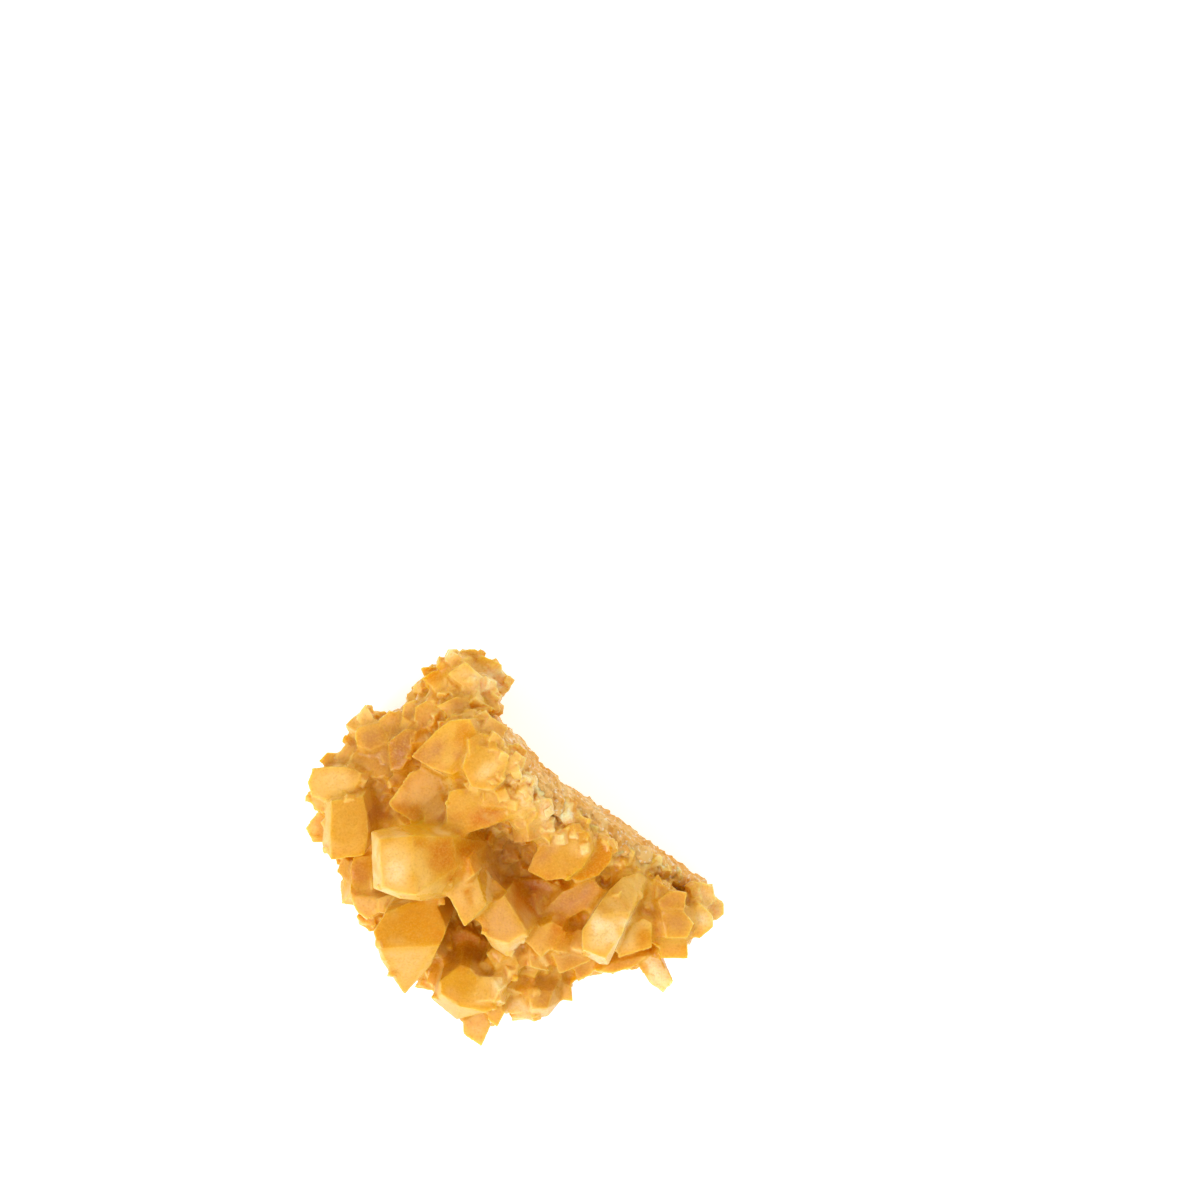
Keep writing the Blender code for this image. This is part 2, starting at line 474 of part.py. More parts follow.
        face=[(-2.1, -21.9), (-0.7, -19.7), (1.6, -20.3), (2.2, -22.9), (-0.3, -23.9), (-1.7, -23.3)],
    ),
    "behind_prism": dict(
        height=12.5, slope=(0.1, 0.1), root=(0, 0, -6), taper=0.97,
        face=[(12.1, -3), (13.8, -1.5), (16, -2), (15.3, -3.9), (13.3, -4.9)],
    ),
    "beside_prism": dict(
        height=12.5, slope=(0, 0.1), root=(0, 0, -6), taper=0.97,
        face=[(18.3, -6.3), (19.8, -4.4), (21.8, -5.4), (20.8, -7.7), (18.7, -8.4)],
    ),
    "end_druse_a": dict(
        height=9.5, slope=(-0.1, 0), root=(-2, -2, -5), taper=0.97,
        face=[(25, -6), (26.4, -4.7), (28.3, -5.4), (28.7, -7.1), (27.3, -8.7), (25.5, -8.1)],
    ),
    "end_druse_b": dict(
        height=8, slope=(-0.1, 0), root=(-3, -1, -4), taper=0.97,
        face=[(27.6, -8.2), (28.7, -6.8), (29.9, -7.9), (30, -9.5), (28.9, -10.4), (27.9, -9.6)],
    ),
    "rim_a": dict(
        height=23.3, slope=(0.05, 0.1), root=(0, 0, -6), taper=1,
        face=[(0.2, 7.7), (0.6, 8.8), (1.9, 9), (2.3, 7.7), (1.9, 6.4), (0.6, 6.4)],
    ),
    "rim_b": dict(
        height=21.5, slope=(0.1, 0.2), root=(0, 0, -6), taper=1,
        face=[(-0.1, 3.8), (0.7, 5.4), (2.2, 5.7), (2.9, 4.5), (2, 3.4), (0.5, 3.1)],
    ),
    "rim_c": dict(
        height=21.8, slope=(0.05, 0.15), root=(0, 0, -6), taper=1,
        face=[(3.1, 6.4), (3.8, 7.5), (5.3, 7.5), (5.7, 6.2), (4.5, 4.3), (3.4, 5.1)],
    ),
    "rim_d": dict(
        height=23.5, slope=(0, 0), root=(0, 0, -6), taper=1,
        face=[(0.3, 10.4), (1.1, 11.5), (2.5, 11.5), (3.2, 10.2), (2.3, 9.1), (0.8, 9.1)],
    ),
    "rim_e": dict(
        height=24, slope=(0, 0), root=(0, 0, -6), taper=1,
        face=[(-1.2, 12.2), (-0.6, 13.3), (0.6, 13.2), (1.1, 11.9), (0.1, 10.9), (-0.9, 11.1)],
    ),
    "rim_f": dict(
        height=21.5, slope=(0.1, 0.1), root=(0, 0, -6), taper=1,
        face=[(1.9, 6.4), (2.4, 7.6), (3.4, 7.2), (3.4, 5.5), (2.4, 5)],
    ),
    "rim_g": dict(
        height=21.5, slope=(0, 0.1), root=(0, 0, -6), taper=1,
        face=[(3.3, 9), (4.1, 10.2), (5.4, 9.6), (5.5, 8.2), (4.1, 7.6)],
    ),
    "rim_h": dict(
        height=23, slope=(0, 0.1), root=(0, 0, -6), taper=1,
        face=[(-1.1, 14), (-0.5, 15.1), (0.8, 15), (1, 13.7), (-0.2, 13.2)],
    ),
    "rim_i": dict(
        height=19.5, slope=(0, 0.1), root=(0, 0, -6), taper=1,
        face=[(5.7, 5.5), (6.8, 6.3), (8.1, 5.5), (7.8, 3.9), (6.1, 3.8)],
    ),
    "rim_j": dict(
        height=18, slope=(0, 0.1), root=(0, 0, -6), taper=1,
        face=[(8.2, 4), (9.5, 5), (10.7, 4.1), (10.4, 2.6), (8.8, 2.6)],
    ),
    "rim_k": dict(
        height=16.5, slope=(0, 0.1), root=(0, 0, -6), taper=1,
        face=[(10.7, 4.2), (11.7, 5.4), (13, 4.5), (13, 3), (11.4, 2.7)],
    ),
}


def clear_scene():
    for old in list(bpy.data.objects):
        bpy.data.objects.remove(old)


def finish(name, colour, roughness):
    """A Principled material."""
    material = bpy.data.materials.new(name)
    material.use_nodes = True
    shader = material.node_tree.nodes["Principled BSDF"]
    shader.inputs["Base Color"].default_value = (*colour, 1.0)
    shader.inputs["Roughness"].default_value = roughness
    shader.inputs["Metallic"].default_value = 0.0
    return material


def object_of(name, bm):
    """A linked object from a bmesh in millimetres."""
    bmesh.ops.transform(bm, matrix=Matrix.Scale(MM, 4), verts=bm.verts)
    mesh = bpy.data.meshes.new(name)
    bm.to_mesh(mesh)
    bm.free()
    made = bpy.data.objects.new(name, mesh)
    bpy.context.scene.collection.objects.link(made)
    return made


def objects_of(name, bodies):
    return [object_of(f"{name}_{i}", bm) for i, bm in enumerate(bodies)]


def crust_height(x, y):
    """Height of the surface that the crystals grow from."""
    hills = (h * math.exp(-((x - cx) ** 2 + (y - cy) ** 2) / (2 * s * s)) for cx, cy, h, s in HILLS)
    return FLOOR + sum(hills)


def crust_normal(x, y):
    step = 0.5
    slope_x = (crust_height(x + step, y) - crust_height(x - step, y)) / (2 * step)
    slope_y = (crust_height(x, y + step) - crust_height(x, y - step)) / (2 * step)
    return Vector((-slope_x, -slope_y, 1.0)).normalized()


def crest_distance(x, y):
    """Distance, seen from above, to the crest of the wall."""
    here = Vector((x, y, 0.0))
    nearest = math.inf
    for a, b in zip(CREST, CREST[1:]):
        a, b = Vector((*a, 0.0)), Vector((*b, 0.0))
        foot, share = intersect_point_line(here, a, b)
        if share < 0:
            foot = a
        elif share > 1:
            foot = b
        nearest = min(nearest, (here - foot).length)
    return nearest


def rock_height(x, y):
    """Height of the matrix's upper surface: under the crust, then up into the bare wall."""
    wall = math.exp(-((crest_distance(x, y) / WALL_WIDTH) ** 2))
    return crust_height(x, y) - CRUST_DEPTH + (CRUST_DEPTH * 0.5 + WALL_RISE) * wall


def within(corners, x, y):
    """Whether a point lies inside a polygon seen from above."""
    inside = False
    for (ax, ay), (bx, by) in zip(corners, corners[1:] + corners[:1]):
        if (ay > y) != (by > y) and x < ax + (y - ay) * (bx - ax) / (by - ay):
            inside = not inside
    return inside


def divided(outline, longest):
    """The outline with points added so that none of its edges is longer."""
    points = []
    for a, b in zip(outline, outline[1:] + outline[:1]):
        a, b = Vector(a), Vector(b)
        count = math.ceil((b - a).length / longest)
        points += [a.lerp(b, k / count) for k in range(count)]
    return points


def pushed(outline, out):
    """The outline with every point moved outward, seen from above."""
    moved = []
    for before, here, after in zip(outline[-1:] + outline[:-1], outline, outline[1:] + outline[:1]):
        along = ((here - before).normalized() + (after - here).normalized()).normalized()
        moved.append(here + out * Vector((along.y, -along.x)))
    return moved


def inner_points(outline, margin):
    """Points inside an outline: close together on the wall and further apart elsewhere."""
    rng = random.Random(3)
    inside = pushed(outline, -margin)
    reach = math.ceil(max(abs(c) for point in outline for c in point) / CREST_STEP)
    points = []
    for i in range(-reach, reach + 1):
        for j in range(-reach, reach + 1):
            x = (i + 0.5 * (j % 2) + rng.uniform(-JITTER, JITTER)) * CREST_STEP
            y = (j + rng.uniform(-JITTER, JITTER)) * CREST_STEP
            coarse = i % FLOOR_STEPS == 0 and j % FLOOR_STEPS == 0
            if within(inside, x, y) and (coarse or crest_distance(x, y) < CREST_SIDE):
                points.append(Vector((x, y)))
    return points


def cap(bm, ring, points, facing):
    """Triangles that fill a ring of vertices, by way of the points that lie inside it."""
    places = [Vector(v.co.xy) for v in ring] + [Vector(point.xy) for point in points]
    loop = [(k, (k + 1) % len(ring)) for k in range(len(ring))]
    _, _, faces, sources, _, _ = delaunay_2d_cdt(places, loop, [], 1, 1e-5)
    faces = [[sources[k][0] for k in face] for face in faces]
    verts = dict(enumerate(ring))
    for k in sorted({k for face in faces for k in face} - set(verts)):
        verts[k] = bm.verts.new(points[k - len(ring)])
    for face in faces:
        bm.faces.new([verts[k] for k in face[::facing]])


def column(rims, top, foot, inner):
    """A closed body between two surfaces, with sides through rims of (outline, share of the height)."""
    bm = bmesh.new()
    rings = []
    for outline, share in rims:
        heights = [foot(*point) + share * (top(*point) - foot(*point)) for point in outline]
        rings.append([bm.verts.new((*point, z)) for point, z in zip(outline, heights)])
    for upper, lower in zip(rings, rings[1:]):
        for k in range(len(upper)):
            near = (k + 1) % len(upper)
            bm.faces.new((upper[k], lower[k], lower[near]))
            bm.faces.new((upper[k], lower[near], upper[near]))
    cap(bm, rings[0], [Vector((*point, top(*point))) for point in inner], 1)
    cap(bm, rings[-1], [Vector((*point, foot(*point))) for point in inner], -1)
    return bm


def rough_surface(rng):
    """The matrix's upper surface with a random step at each point, the same for the same point."""
    steps = {}

    def height(x, y):
        grain = GRAIN if crest_distance(x, y) < CREST_SIDE else FLOOR_GRAIN
        step = steps.setdefault((x, y), rng.uniform(-grain, grain))
        return rock_height(x, y) + step

    return height


def build_rock():
    """The matrix: a flat foot, rough sides and a bare, sugary wall."""
    rng = random.Random(5)
    outline = divided(OUTLINE, ROCK_EDGE)
    rims = []
    for out, share in ROCK_SIDE:
        steps = [Vector((rng.uniform(-ROUGH, ROUGH), rng.uniform(-ROUGH, ROUGH))) for _ in outline]
        rims.append(([point + step for point, step in zip(pushed(outline, out), steps)], share))
    return column(rims, rough_surface(rng), lambda x, y: 0.0, inner_points(outline, ROCK_MARGIN))


def build_hollow():
    """The matrix grown on every side by the gap, for the hollow that it leaves in the crust."""
    bm = build_rock()
    bm.normal_update()
    bm.verts.index_update()
    bm.verts.ensure_lookup_table()
    count = len(divided(OUTLINE, ROCK_EDGE))
    sides = len(ROCK_SIDE) * count
    for level in range(len(ROCK_SIDE)):
        ring = bm.verts[level * count:(level + 1) * count]
        for v, place in zip(ring, pushed([Vector(v.co.xy) for v in ring], SIDE_GAP)):
            v.co.xy = place
    for v in bm.verts:
        if v.co.z == 0:
            v.co.z = -GAP
        elif v.index < count or v.index >= sides:
            rises = [max(face.normal.z, STEEPEST) for face in v.link_faces if face.normal.z > 0]
            v.co.z += GAP / min(rises)
    return bm


def bed_foot(x, y):
    return max(BED_LOWEST, crust_height(x, y) - BED_DEPTH)


def build_bed():
    """The druse that the crystals stand in."""
    outline = [Vector(point) for point in BED_OUTLINE]
    rims = [(pushed(outline, out), share) for out, share in BED_SIDE]
    return column(rims, crust_height, bed_foot, inner_points(outline, BED_MARGIN))


def build_crystal(face, height, slope, root, taper, shoulder=()):
    """The convex body round a tilted face, its root and its shoulder points."""
    centre = sum((Vector(corner) for corner in face), Vector((0, 0))) / len(face)
    outer = [Vector((*corner, height + Vector(slope).dot(Vector(corner) - centre))) for corner in face]
    middle = Vector((*centre, height))
    inner = [middle + Vector(root) + taper * (corner - middle) for corner in outer]
    bm = bmesh.new()
    for corner in outer + inner + [Vector(point) for point in shoulder]:
        bm.verts.new(corner)
    hull = bmesh.ops.convex_hull(bm, input=bm.verts)
    spare = {v for v in hull["geom_interior"] + hull["geom_unused"] if isinstance(v, bmesh.types.BMVert)}
    bmesh.ops.delete(bm, geom=list(spare), context="VERTS")
    bmesh.ops.recalc_face_normals(bm, faces=bm.faces)
    return bm


def build_rhomb(at, aim, spin, size, stretch):
    """A calcite rhombohedron with its long axis along aim, made from a cube by shearing it."""
    edges = [
        Vector((math.sin(LEAN) * math.cos(turn), math.sin(LEAN) * math.sin(turn), stretch * math.cos(LEAN)))
        for turn in (0.0, math.tau / 3, 2 * math.tau / 3)
    ]
    shear = Matrix(edges).transposed().to_4x4()
    stand = Vector(aim).to_track_quat("Z", "Y").to_matrix().to_4x4() @ Matrix.Rotation(spin, 4, "Z")
    bm = bmesh.new()
    bmesh.ops.create_cube(bm, size=size, matrix=Matrix.Translation(at) @ stand @ shear)
    bmesh.ops.recalc_face_normals(bm, faces=bm.faces)
    return bm


def gap_rhombs(rng):
    """Rhombs on the druse wherever no large crystal's face lies above."""
    made = []
    reach = max(abs(c) for point in BED_OUTLINE for c in point)
    while len(made) < GAP_RHOMBS:
        x, y = rng.uniform(-reach, reach), rng.uniform(-reach, reach)
        covered = any(within(crystal["face"], x, y) for crystal in CRYSTALS.values())
        if covered or not within(BED_OUTLINE, x, y) or crest_distance(x, y) < GAP_RHOMB_REACH:
            continue
        lean = Vector((rng.gauss(0, WILDNESS), rng.gauss(0, WILDNESS), 0.0))
        aim = (crust_normal(x, y) + lean).normalized()
        size = rng.uniform(*GAP_RHOMB_SIZES)
        at = Vector((x, y, crust_height(x, y))) + GAP_RHOMB_RISE * size * aim
        made.append(build_rhomb(at, aim, rng.uniform(0, math.tau), size, rng.uniform(*GAP_RHOMB_STRETCH)))
    return made


def rim_rhombs(rng):
    """Rhombs that point outward round the edge that hangs over the matrix."""
    made = []
    for here in divided(BED_OUTLINE, RIM_RHOMB_STEP):
        size = rng.uniform(*RIM_RHOMB_SIZES)
        if crest_distance(*here) < RIM_RHOMB_REACH:
            continue
        z = max(RIM_RHOMB_LOWEST * size, crust_height(*here) - rng.uniform(*RIM_RHOMB_DROP))
        aim = Vector((*here.normalized(), rng.uniform(-0.2, 0.5))).normalized()
        at = Vector((*here, z)) - RIM_RHOMB_INSET * size * aim
        made.append(build_rhomb(at, aim, rng.uniform(0, math.tau), size, rng.uniform(*RIM_RHOMB_STRETCH)))
    return made


def combine(body, parts, operation):
    """Joins or cuts body with every part in one exact Boolean, which becomes body's mesh."""
    tools = bpy.data.collections.new(operation.lower())
    bpy.context.scene.collection.children.link(tools)
    for part in parts:
        bpy.context.scene.collection.objects.unlink(part)
        tools.objects.link(part)
    step = body.modifiers.new(operation, "BOOLEAN")
    step.operation = operation
    step.solver = "EXACT"
    step.operand_type = "COLLECTION"
    step.collection = tools
    evaluated = body.evaluated_get(bpy.context.evaluated_depsgraph_get())
    result = bpy.data.meshes.new_from_object(evaluated)
    body.modifiers.clear()
    body.data = result
    for part in parts:
        bpy.data.objects.remove(part)
    bpy.data.collections.remove(tools)


def connected(start):
    """Every vertex that edges join to start."""
    found, todo = {start}, [start]
    while todo:
        here = todo.pop()
        for edge in here.link_edges:
            other = edge.other_vert(here)
            if other not in found:
                found.add(other)
                todo.append(other)
    return found


def keep_largest(body):
    """Deletes the bits that a cut leaves loose, so that one closed body stays."""
    bm = bmesh.new()
    bm.from_mesh(body.data)
    bmesh.ops.dissolve_limit(bm, angle_limit=FLAT_ANGLE, verts=bm.verts, edges=bm.edges)
    bmesh.ops.triangulate(bm, faces=bm.faces)
    left = set(bm.verts)
    groups = []
    while left:
        groups.append(connected(next(iter(left))))
        left -= groups[-1]
    for loose in sorted(groups, key=len)[:-1]:
        bmesh.ops.delete(bm, geom=list(loose), context="VERTS")
    bm.to_mesh(body.data)
    bm.free()


def build():
    clear_scene()
    rng = random.Random(11)
    matrix = object_of("matrix", build_rock())
    crystals = object_of("crystals", build_bed())
    grown = [build_crystal(**shape) for shape in CRYSTALS.values()] + gap_rhombs(rng) + rim_rhombs(rng)
    combine(crystals, objects_of("crystal", grown), "UNION")
    combine(crystals, objects_of("hollow", [build_hollow()]), "DIFFERENCE")
    keep_largest(crystals)
    matrix.data.materials.clear()
    matrix.data.materials.append(finish("sugary_matrix", (0.72, 0.47, 0.22), 0.7))
    crystals.data.materials.clear()
    crystals.data.materials.append(finish("honey_calcite", (0.86, 0.44, 0.08), 0.3))


build()
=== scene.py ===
"""Looks of a cluster of honey calcite: cloudy orange crystals on a broken, sugary piece of rock."""

import math
import random

import bmesh
import bpy
import numpy as np
from mathutils import Matrix, Vector, noise
from mathutils.bvhtree import BVHTree
from mathutils.kdtree import KDTree


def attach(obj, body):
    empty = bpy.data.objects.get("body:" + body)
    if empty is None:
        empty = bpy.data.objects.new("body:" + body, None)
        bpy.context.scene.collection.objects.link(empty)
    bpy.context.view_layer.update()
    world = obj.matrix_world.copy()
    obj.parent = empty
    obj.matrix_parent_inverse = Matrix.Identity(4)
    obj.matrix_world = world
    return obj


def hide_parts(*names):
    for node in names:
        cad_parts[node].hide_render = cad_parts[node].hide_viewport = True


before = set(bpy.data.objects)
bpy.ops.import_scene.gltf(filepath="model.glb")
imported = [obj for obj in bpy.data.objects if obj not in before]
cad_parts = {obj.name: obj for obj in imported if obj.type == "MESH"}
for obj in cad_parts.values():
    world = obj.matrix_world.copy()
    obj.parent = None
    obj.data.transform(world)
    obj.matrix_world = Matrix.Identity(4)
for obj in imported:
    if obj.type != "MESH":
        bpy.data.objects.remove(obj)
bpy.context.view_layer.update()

# The crust of crystals: rhombs, prisms and a barrel of cloudy calcite, all grown together. The packed
# solid gives each crystal its place and its flat faces. Small rhombs are strewn between them and over
# their edges, everything is fused, and the large faces get the low steps in which calcite grows.
MM = 0.001  # lengths are in millimetres until a piece is finished
CRUST_VOXEL = 0.2
CRUST_FACES = 190_000
SMALL_FACET = 7.0  # square millimetres
FLAT = math.radians(0.5)  # faces closer than this to one plane make one facet
MERGE_DISTANCE = 0.001
CLEAR_EDGE = math.radians(14)  # an edge sharper than this gets a rim of painted edge light
SHARP = math.radians(38)  # an edge sharper than this isn't shaded smooth

# Colours of the calcite: light where it is frosted, deep where light has come a long way through it. The
# pale ones also serve as painted light and highlights, the deep ones as painted shade
FROST = (0.95, 0.79, 0.53)
CREAM = (0.83, 0.61, 0.25)
GOLD = (0.86, 0.6, 0.12)
HONEY = (0.72, 0.4, 0.004)
AMBER = (0.7, 0.31, 0.001)
UMBER = (0.64, 0.2, 0.001)
PEACH = (0.73, 0.38, 0.13)
BROWN = (0.52, 0.22, 0.05)
SHADE = (0.48, 0.21, 0.01)

# The tone of single facets, as (x, y, pale, warm, deep). A facet is found by looking from the camera
# towards (x, y) at SIGHT_HEIGHT, and pale, warm and deep are shares of cream, peach and amber. Pale and
# deep hold the facets' own tone together with painted light and shade: pale on facets turned to the
# lamps, deep on shaded ones.
CAMERA = Vector((12.14, 35.36, 908.0))
SIGHT_HEIGHT = 8.0
FACET_TONES = {
    "barrel_end": (-16.4, -2.1, 0.45, 0.0, 0.0),
    "barrel_top": (-13.6, 2.8, 0.0, 0.0, 0.9),
    "wedge_upper": (-15.0, -11.1, 0.05, 0.0, 0.4),
    "wedge_lower": (-15.7, -16.8, 0.3, 0.5, 0.0),
    "left_block": (-25.7, 8.2, 0.5, 0.0, 0.0),
    "striped_block": (-24.3, 1.8, 0.15, 0.1, 0.2),
    "peach_rhomb": (-12.1, 8.9, 0.4, 0.7, 0.0),
    "front_rhomb": (-6.7, -6.1, 0.55, 0.6, 0.0),
    "middle_rhomb": (-1.4, -11.1, 0.2, 0.95, 0.15),
    "long_prism": (18.6, -8.9, 0.3, 0.0, 0.1),
    "prism_end": (15.7, -13.9, 0.8, 0.0, 0.0),
    "ridge_slab": (-9.3, 13.9, 0.25, 0.0, 0.05),
    "ridge_knuckle": (-5.7, 11.1, 0.2, 0.0, 0.2),
    "tri_block": (-6.3, 4.8, 0.15, 0.0, 0.2),
    "spur": (20.0, -19.6, 1.0, 0.0, 0.0),
    "bottom_tooth": (-5.7, -25.4, 0.6, 0.4, 0.0),
    "yellow_block": (-7.1, -19.6, 0.05, 0.0, 0.2),
    "far_right": (28.6, -8.2, 0.8, 0.3, 0.0),
    "double_left": (5.7, 0.4, 0.1, 0.1, 0.3),
    "double_right": (12.1, 0.4, 0.0, 0.0, 0.75),
    "long_peach": (9.3, -6.1, 0.0, 1.0, 0.45),
}

# Soft patches of tone, seen from above, as (x, y, reach, pale, warm, deep). Besides the crystals' own
# tone they paint light where it falls and shade in hollows and on far sides
PATCHES = {
    "barrel_body": (-12.4, -1.8, 6.5, 0.2, 0.0, 0.25),
    # painted light on the barrel's lit end
    "barrel_lit_end": (-16.4, -2.6, 3.8, 0.88, 0.05, 0.0),
    "barrel_glow": (-13.2, -4.4, 2.8, 0.5, 0.0, 0.05),
    # painted shade on the far part of the barrel
    "barrel_shaded_middle": (-8.8, -1.2, 3.4, 0.0, 0.0, 0.85),
    "barrel_far_end_shade": (-5.4, 0.9, 3.6, 0.0, 0.0, 1.0),
    "wedge_gold": (-13.9, -10.9, 2.6, 0.0, 0.0, 0.45),
    "wedge_heart": (-15.0, -16.2, 3.0, 0.4, 0.5, 0.0),
    "left_heart": (-24.7, 9.9, 2.0, 0.7, 0.0, 0.0),
    "left_side": (-28.6, 6.4, 2.2, 0.6, 0.2, 0.0),
    "left_tip": (-21.3, 19.2, 1.9, 1.0, 0.0, 0.0),
    "striped_left": (-26.5, 0.5, 1.2, 0.7, 0.3, 0.0),
    "striped_low": (-22.6, -0.2, 2.0, 0.3, 0.0, 0.1),
    "knuckle_heart": (-4.0, 11.5, 1.2, 0.8, 0.0, 0.0),
    "slab_shade": (-7.0, 16.2, 1.8, 0.0, 0.0, 0.6),
    "slab_foot": (-8.3, 11.0, 1.4, 0.0, 0.0, 0.6),
    "tri_shade": (-3.2, 5.0, 2.4, 0.0, 0.0, 0.95),
    "wall_blobs": (2.6, 7.6, 3.4, 0.95, 0.0, 0.0),
    "wall_blobs_low": (5.2, 4.4, 2.6, 1.0, 0.0, 0.0),
    "wall_blobs_high": (0.6, 12.0, 2.6, 0.8, 0.1, 0.0),
    # painted shade in the hollows
    "pink_painted_shade": (0.7, -0.3, 3.4, 0.0, 1.0, 0.8),
    "gold_painted_shade": (2.2, -6.2, 3.0, 0.0, 0.0, 1.0),
    "lower_painted_shade": (-7.2, -13.2, 3.4, 0.0, 0.0, 0.95),
    "middle_edge": (0.0, -14.2, 1.5, 0.9, 0.2, 0.0),
    "front_sliver": (-3.0, -5.4, 0.9, 0.3, 0.0, 0.9),
    "prism_foot": (12.2, -12.6, 3.0, 0.82, 0.05, 0.0),
    # painted highlights along the long prism
    "prism_painted_highlight": (11.6, -10.2, 1.5, 1.0, 0.0, 0.0),
    "prism_highlight_stripe": (15.6, -10.0, 1.3, 1.0, 0.0, 0.0),
    "prism_highlight_stripe_low": (14.3, -12.4, 1.3, 1.0, 0.0, 0.0),
    "prism_top": (16.8, -4.8, 2.6, 0.35, 0.0, 0.1),
    "prism_right": (18.4, -12.4, 2.2, 0.0, 0.15, 0.5),
    "double_spot": (10.0, -0.4, 0.6, 0.9, 0.0, 0.0),
    "yellow_low": (-6.0, -22.0, 2.0, 0.3, 0.0, 0.1),
    "white_drop": (-2.4, -19.0, 1.0, 1.0, 0.0, 0.0),
    "bottom_pale": (1.5, -23.6, 1.6, 1.0, 0.0, 0.0),
    "bottom_brown": (4.6, -21.2, 1.8, 0.0, 1.0, 0.5),
    "right_peach": (9.6, -17.4, 1.6, 0.4, 0.8, 0.0),
    "right_brown": (22.4, -8.6, 3.4, 0.0, 0.7, 0.7),
    "end_druse": (28.0, -6.0, 2.6, 0.8, 0.0, 0.0),
    "knob_face": (-7.2, 25.2, 1.7, 0.7, 0.1, 0.0),
    "knob_left": (-11.8, 25.0, 1.8, 0.0, 0.0, 0.6),
    "knob_cream": (-4.6, 23.6, 1.8, 0.9, 0.1, 0.0),
    # painted light on the knob's lit side
    "knob_right": (-2.6, 23.9, 2.6, 1.0, 0.0, 0.0),
    "knob_tip": (-9.0, 28.0, 1.2, 1.0, 0.0, 0.0),
    "under_knob": (-7.8, 21.0, 1.6, 0.1, 1.0, 0.5),
    "upper_left_brown": (-16.4, 14.0, 5.2, 0.0, 0.9, 1.0),
    # painted shade in a recess
    "upper_left_painted_shade": (-19.2, 4.8, 2.6, 0.0, 0.4, 0.9),
    "low_left": (-21.4, -8.2, 2.6, 0.6, 0.4, 0.0),
    "yellow_foot": (-9.6, -22.6, 2.2, 0.25, 0.5, 0.1),
    "far_block": (26.9, -10.0, 2.2, 0.9, 0.05, 0.0),
    "peach_cube": (22.9, -10.6, 1.8, 0.05, 0.8, 0.35),
    "bottom_gold": (22.6, -14.2, 2.0, 0.3, 0.0, 0.2),
    "prism_base": (12.0, -15.6, 1.8, 0.3, 0.1, 0.0),
    # painted shade beside the prism
    "beside_prism": (7.4, -11.6, 2.6, 0.0, 0.0, 1.0),
    "low_tan": (8.0, -16.6, 2.4, 0.05, 0.5, 0.4),
    "low_strip": (15.5, -16.8, 2.2, 0.1, 0.5, 0.4),
    "left_low": (-28.4, 2.8, 1.8, 0.7, 0.1, 0.0),
    "barrel_left": (-22.3, -3.6, 2.2, 0.0, 0.4, 0.7),
    "barrel_side": (-20.3, -1.8, 1.3, 0.0, 0.1, 0.5),
    "barrel_top_left": (-18.4, 2.8, 1.4, 0.1, 0.0, 0.4),
    "barrel_top_right": (-13.6, 3.4, 2.2, 0.0, 0.0, 0.6),
}

# Crystals added one by one, as (x, y, lift, size, stretch, lean from upright, compass angle)
SINGLES = {
    "prism_neighbour": (8.6, -10.6, 0.8, 3.6, 1.2, 35, 240),
    "prism_neighbour_low": (6.6, -12.4, 0.6, 3.0, 1.4, 50, 260),
    "white_drop": (-2.3, -19.4, 0.7, 1.5, 2.6, 60, 255),
    "front_sliver": (-3.0, -5.6, 0.5, 1.4, 2.6, 60, 300),
    "left_tip": (-21.4, 17.9, 0.4, 1.6, 2.4, 65, 88),
    "knob_tip": (-9.0, 26.8, 0.3, 1.5, 1.6, 55, 100),
    "wall_white": (7.8, 6.2, 0.4, 1.8, 1.5, 40, 200),
    "double_drop": (10.1, -0.3, 0.1, 1.0, 2.0, 50, 70),
    "gap_filler": (-11.2, 4.9, 1.0, 3.2, 1.0, 25, 30),
}


def merged_copy(node):
    """A node's mesh in millimetres, with its loose triangles joined into flat facets."""
    bm = bmesh.new()
    bm.from_mesh(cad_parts[node].data)
    bmesh.ops.scale(bm, vec=(1 / MM,) * 3, verts=bm.verts)
    bmesh.ops.remove_doubles(bm, verts=bm.verts, dist=MERGE_DISTANCE)
    bmesh.ops.dissolve_limit(bm, angle_limit=FLAT, verts=bm.verts, edges=bm.edges)
    bm.faces.ensure_lookup_table()
    bm.faces.index_update()
    bm.normal_update()
    return bm


def facet_groups(bm):
    """For each face the number of its facet, and for each facet its area and normal."""
    facet = [-1] * len(bm.faces)
    areas, normals = [], []
    for first in bm.faces:
        if facet[first.index] >= 0:
            continue
        number, todo, area = len(areas), [first], 0.0
        facet[first.index] = number
        while todo:
            face = todo.pop()
            area += face.calc_area()
            for edge in face.edges:
                for other in edge.link_faces:
                    if facet[other.index] < 0 and other.normal.angle(face.normal, 1.0) < FLAT:
                        facet[other.index] = number
                        todo.append(other)
        areas.append(area)
        normals.append(first.normal.copy())
    return facet, areas, normals


CALCITE_LEAN = math.radians(63.7)  # between a rhomb's edges and its long axis
rhomb_mesh = bpy.data.meshes.new("rhomb")


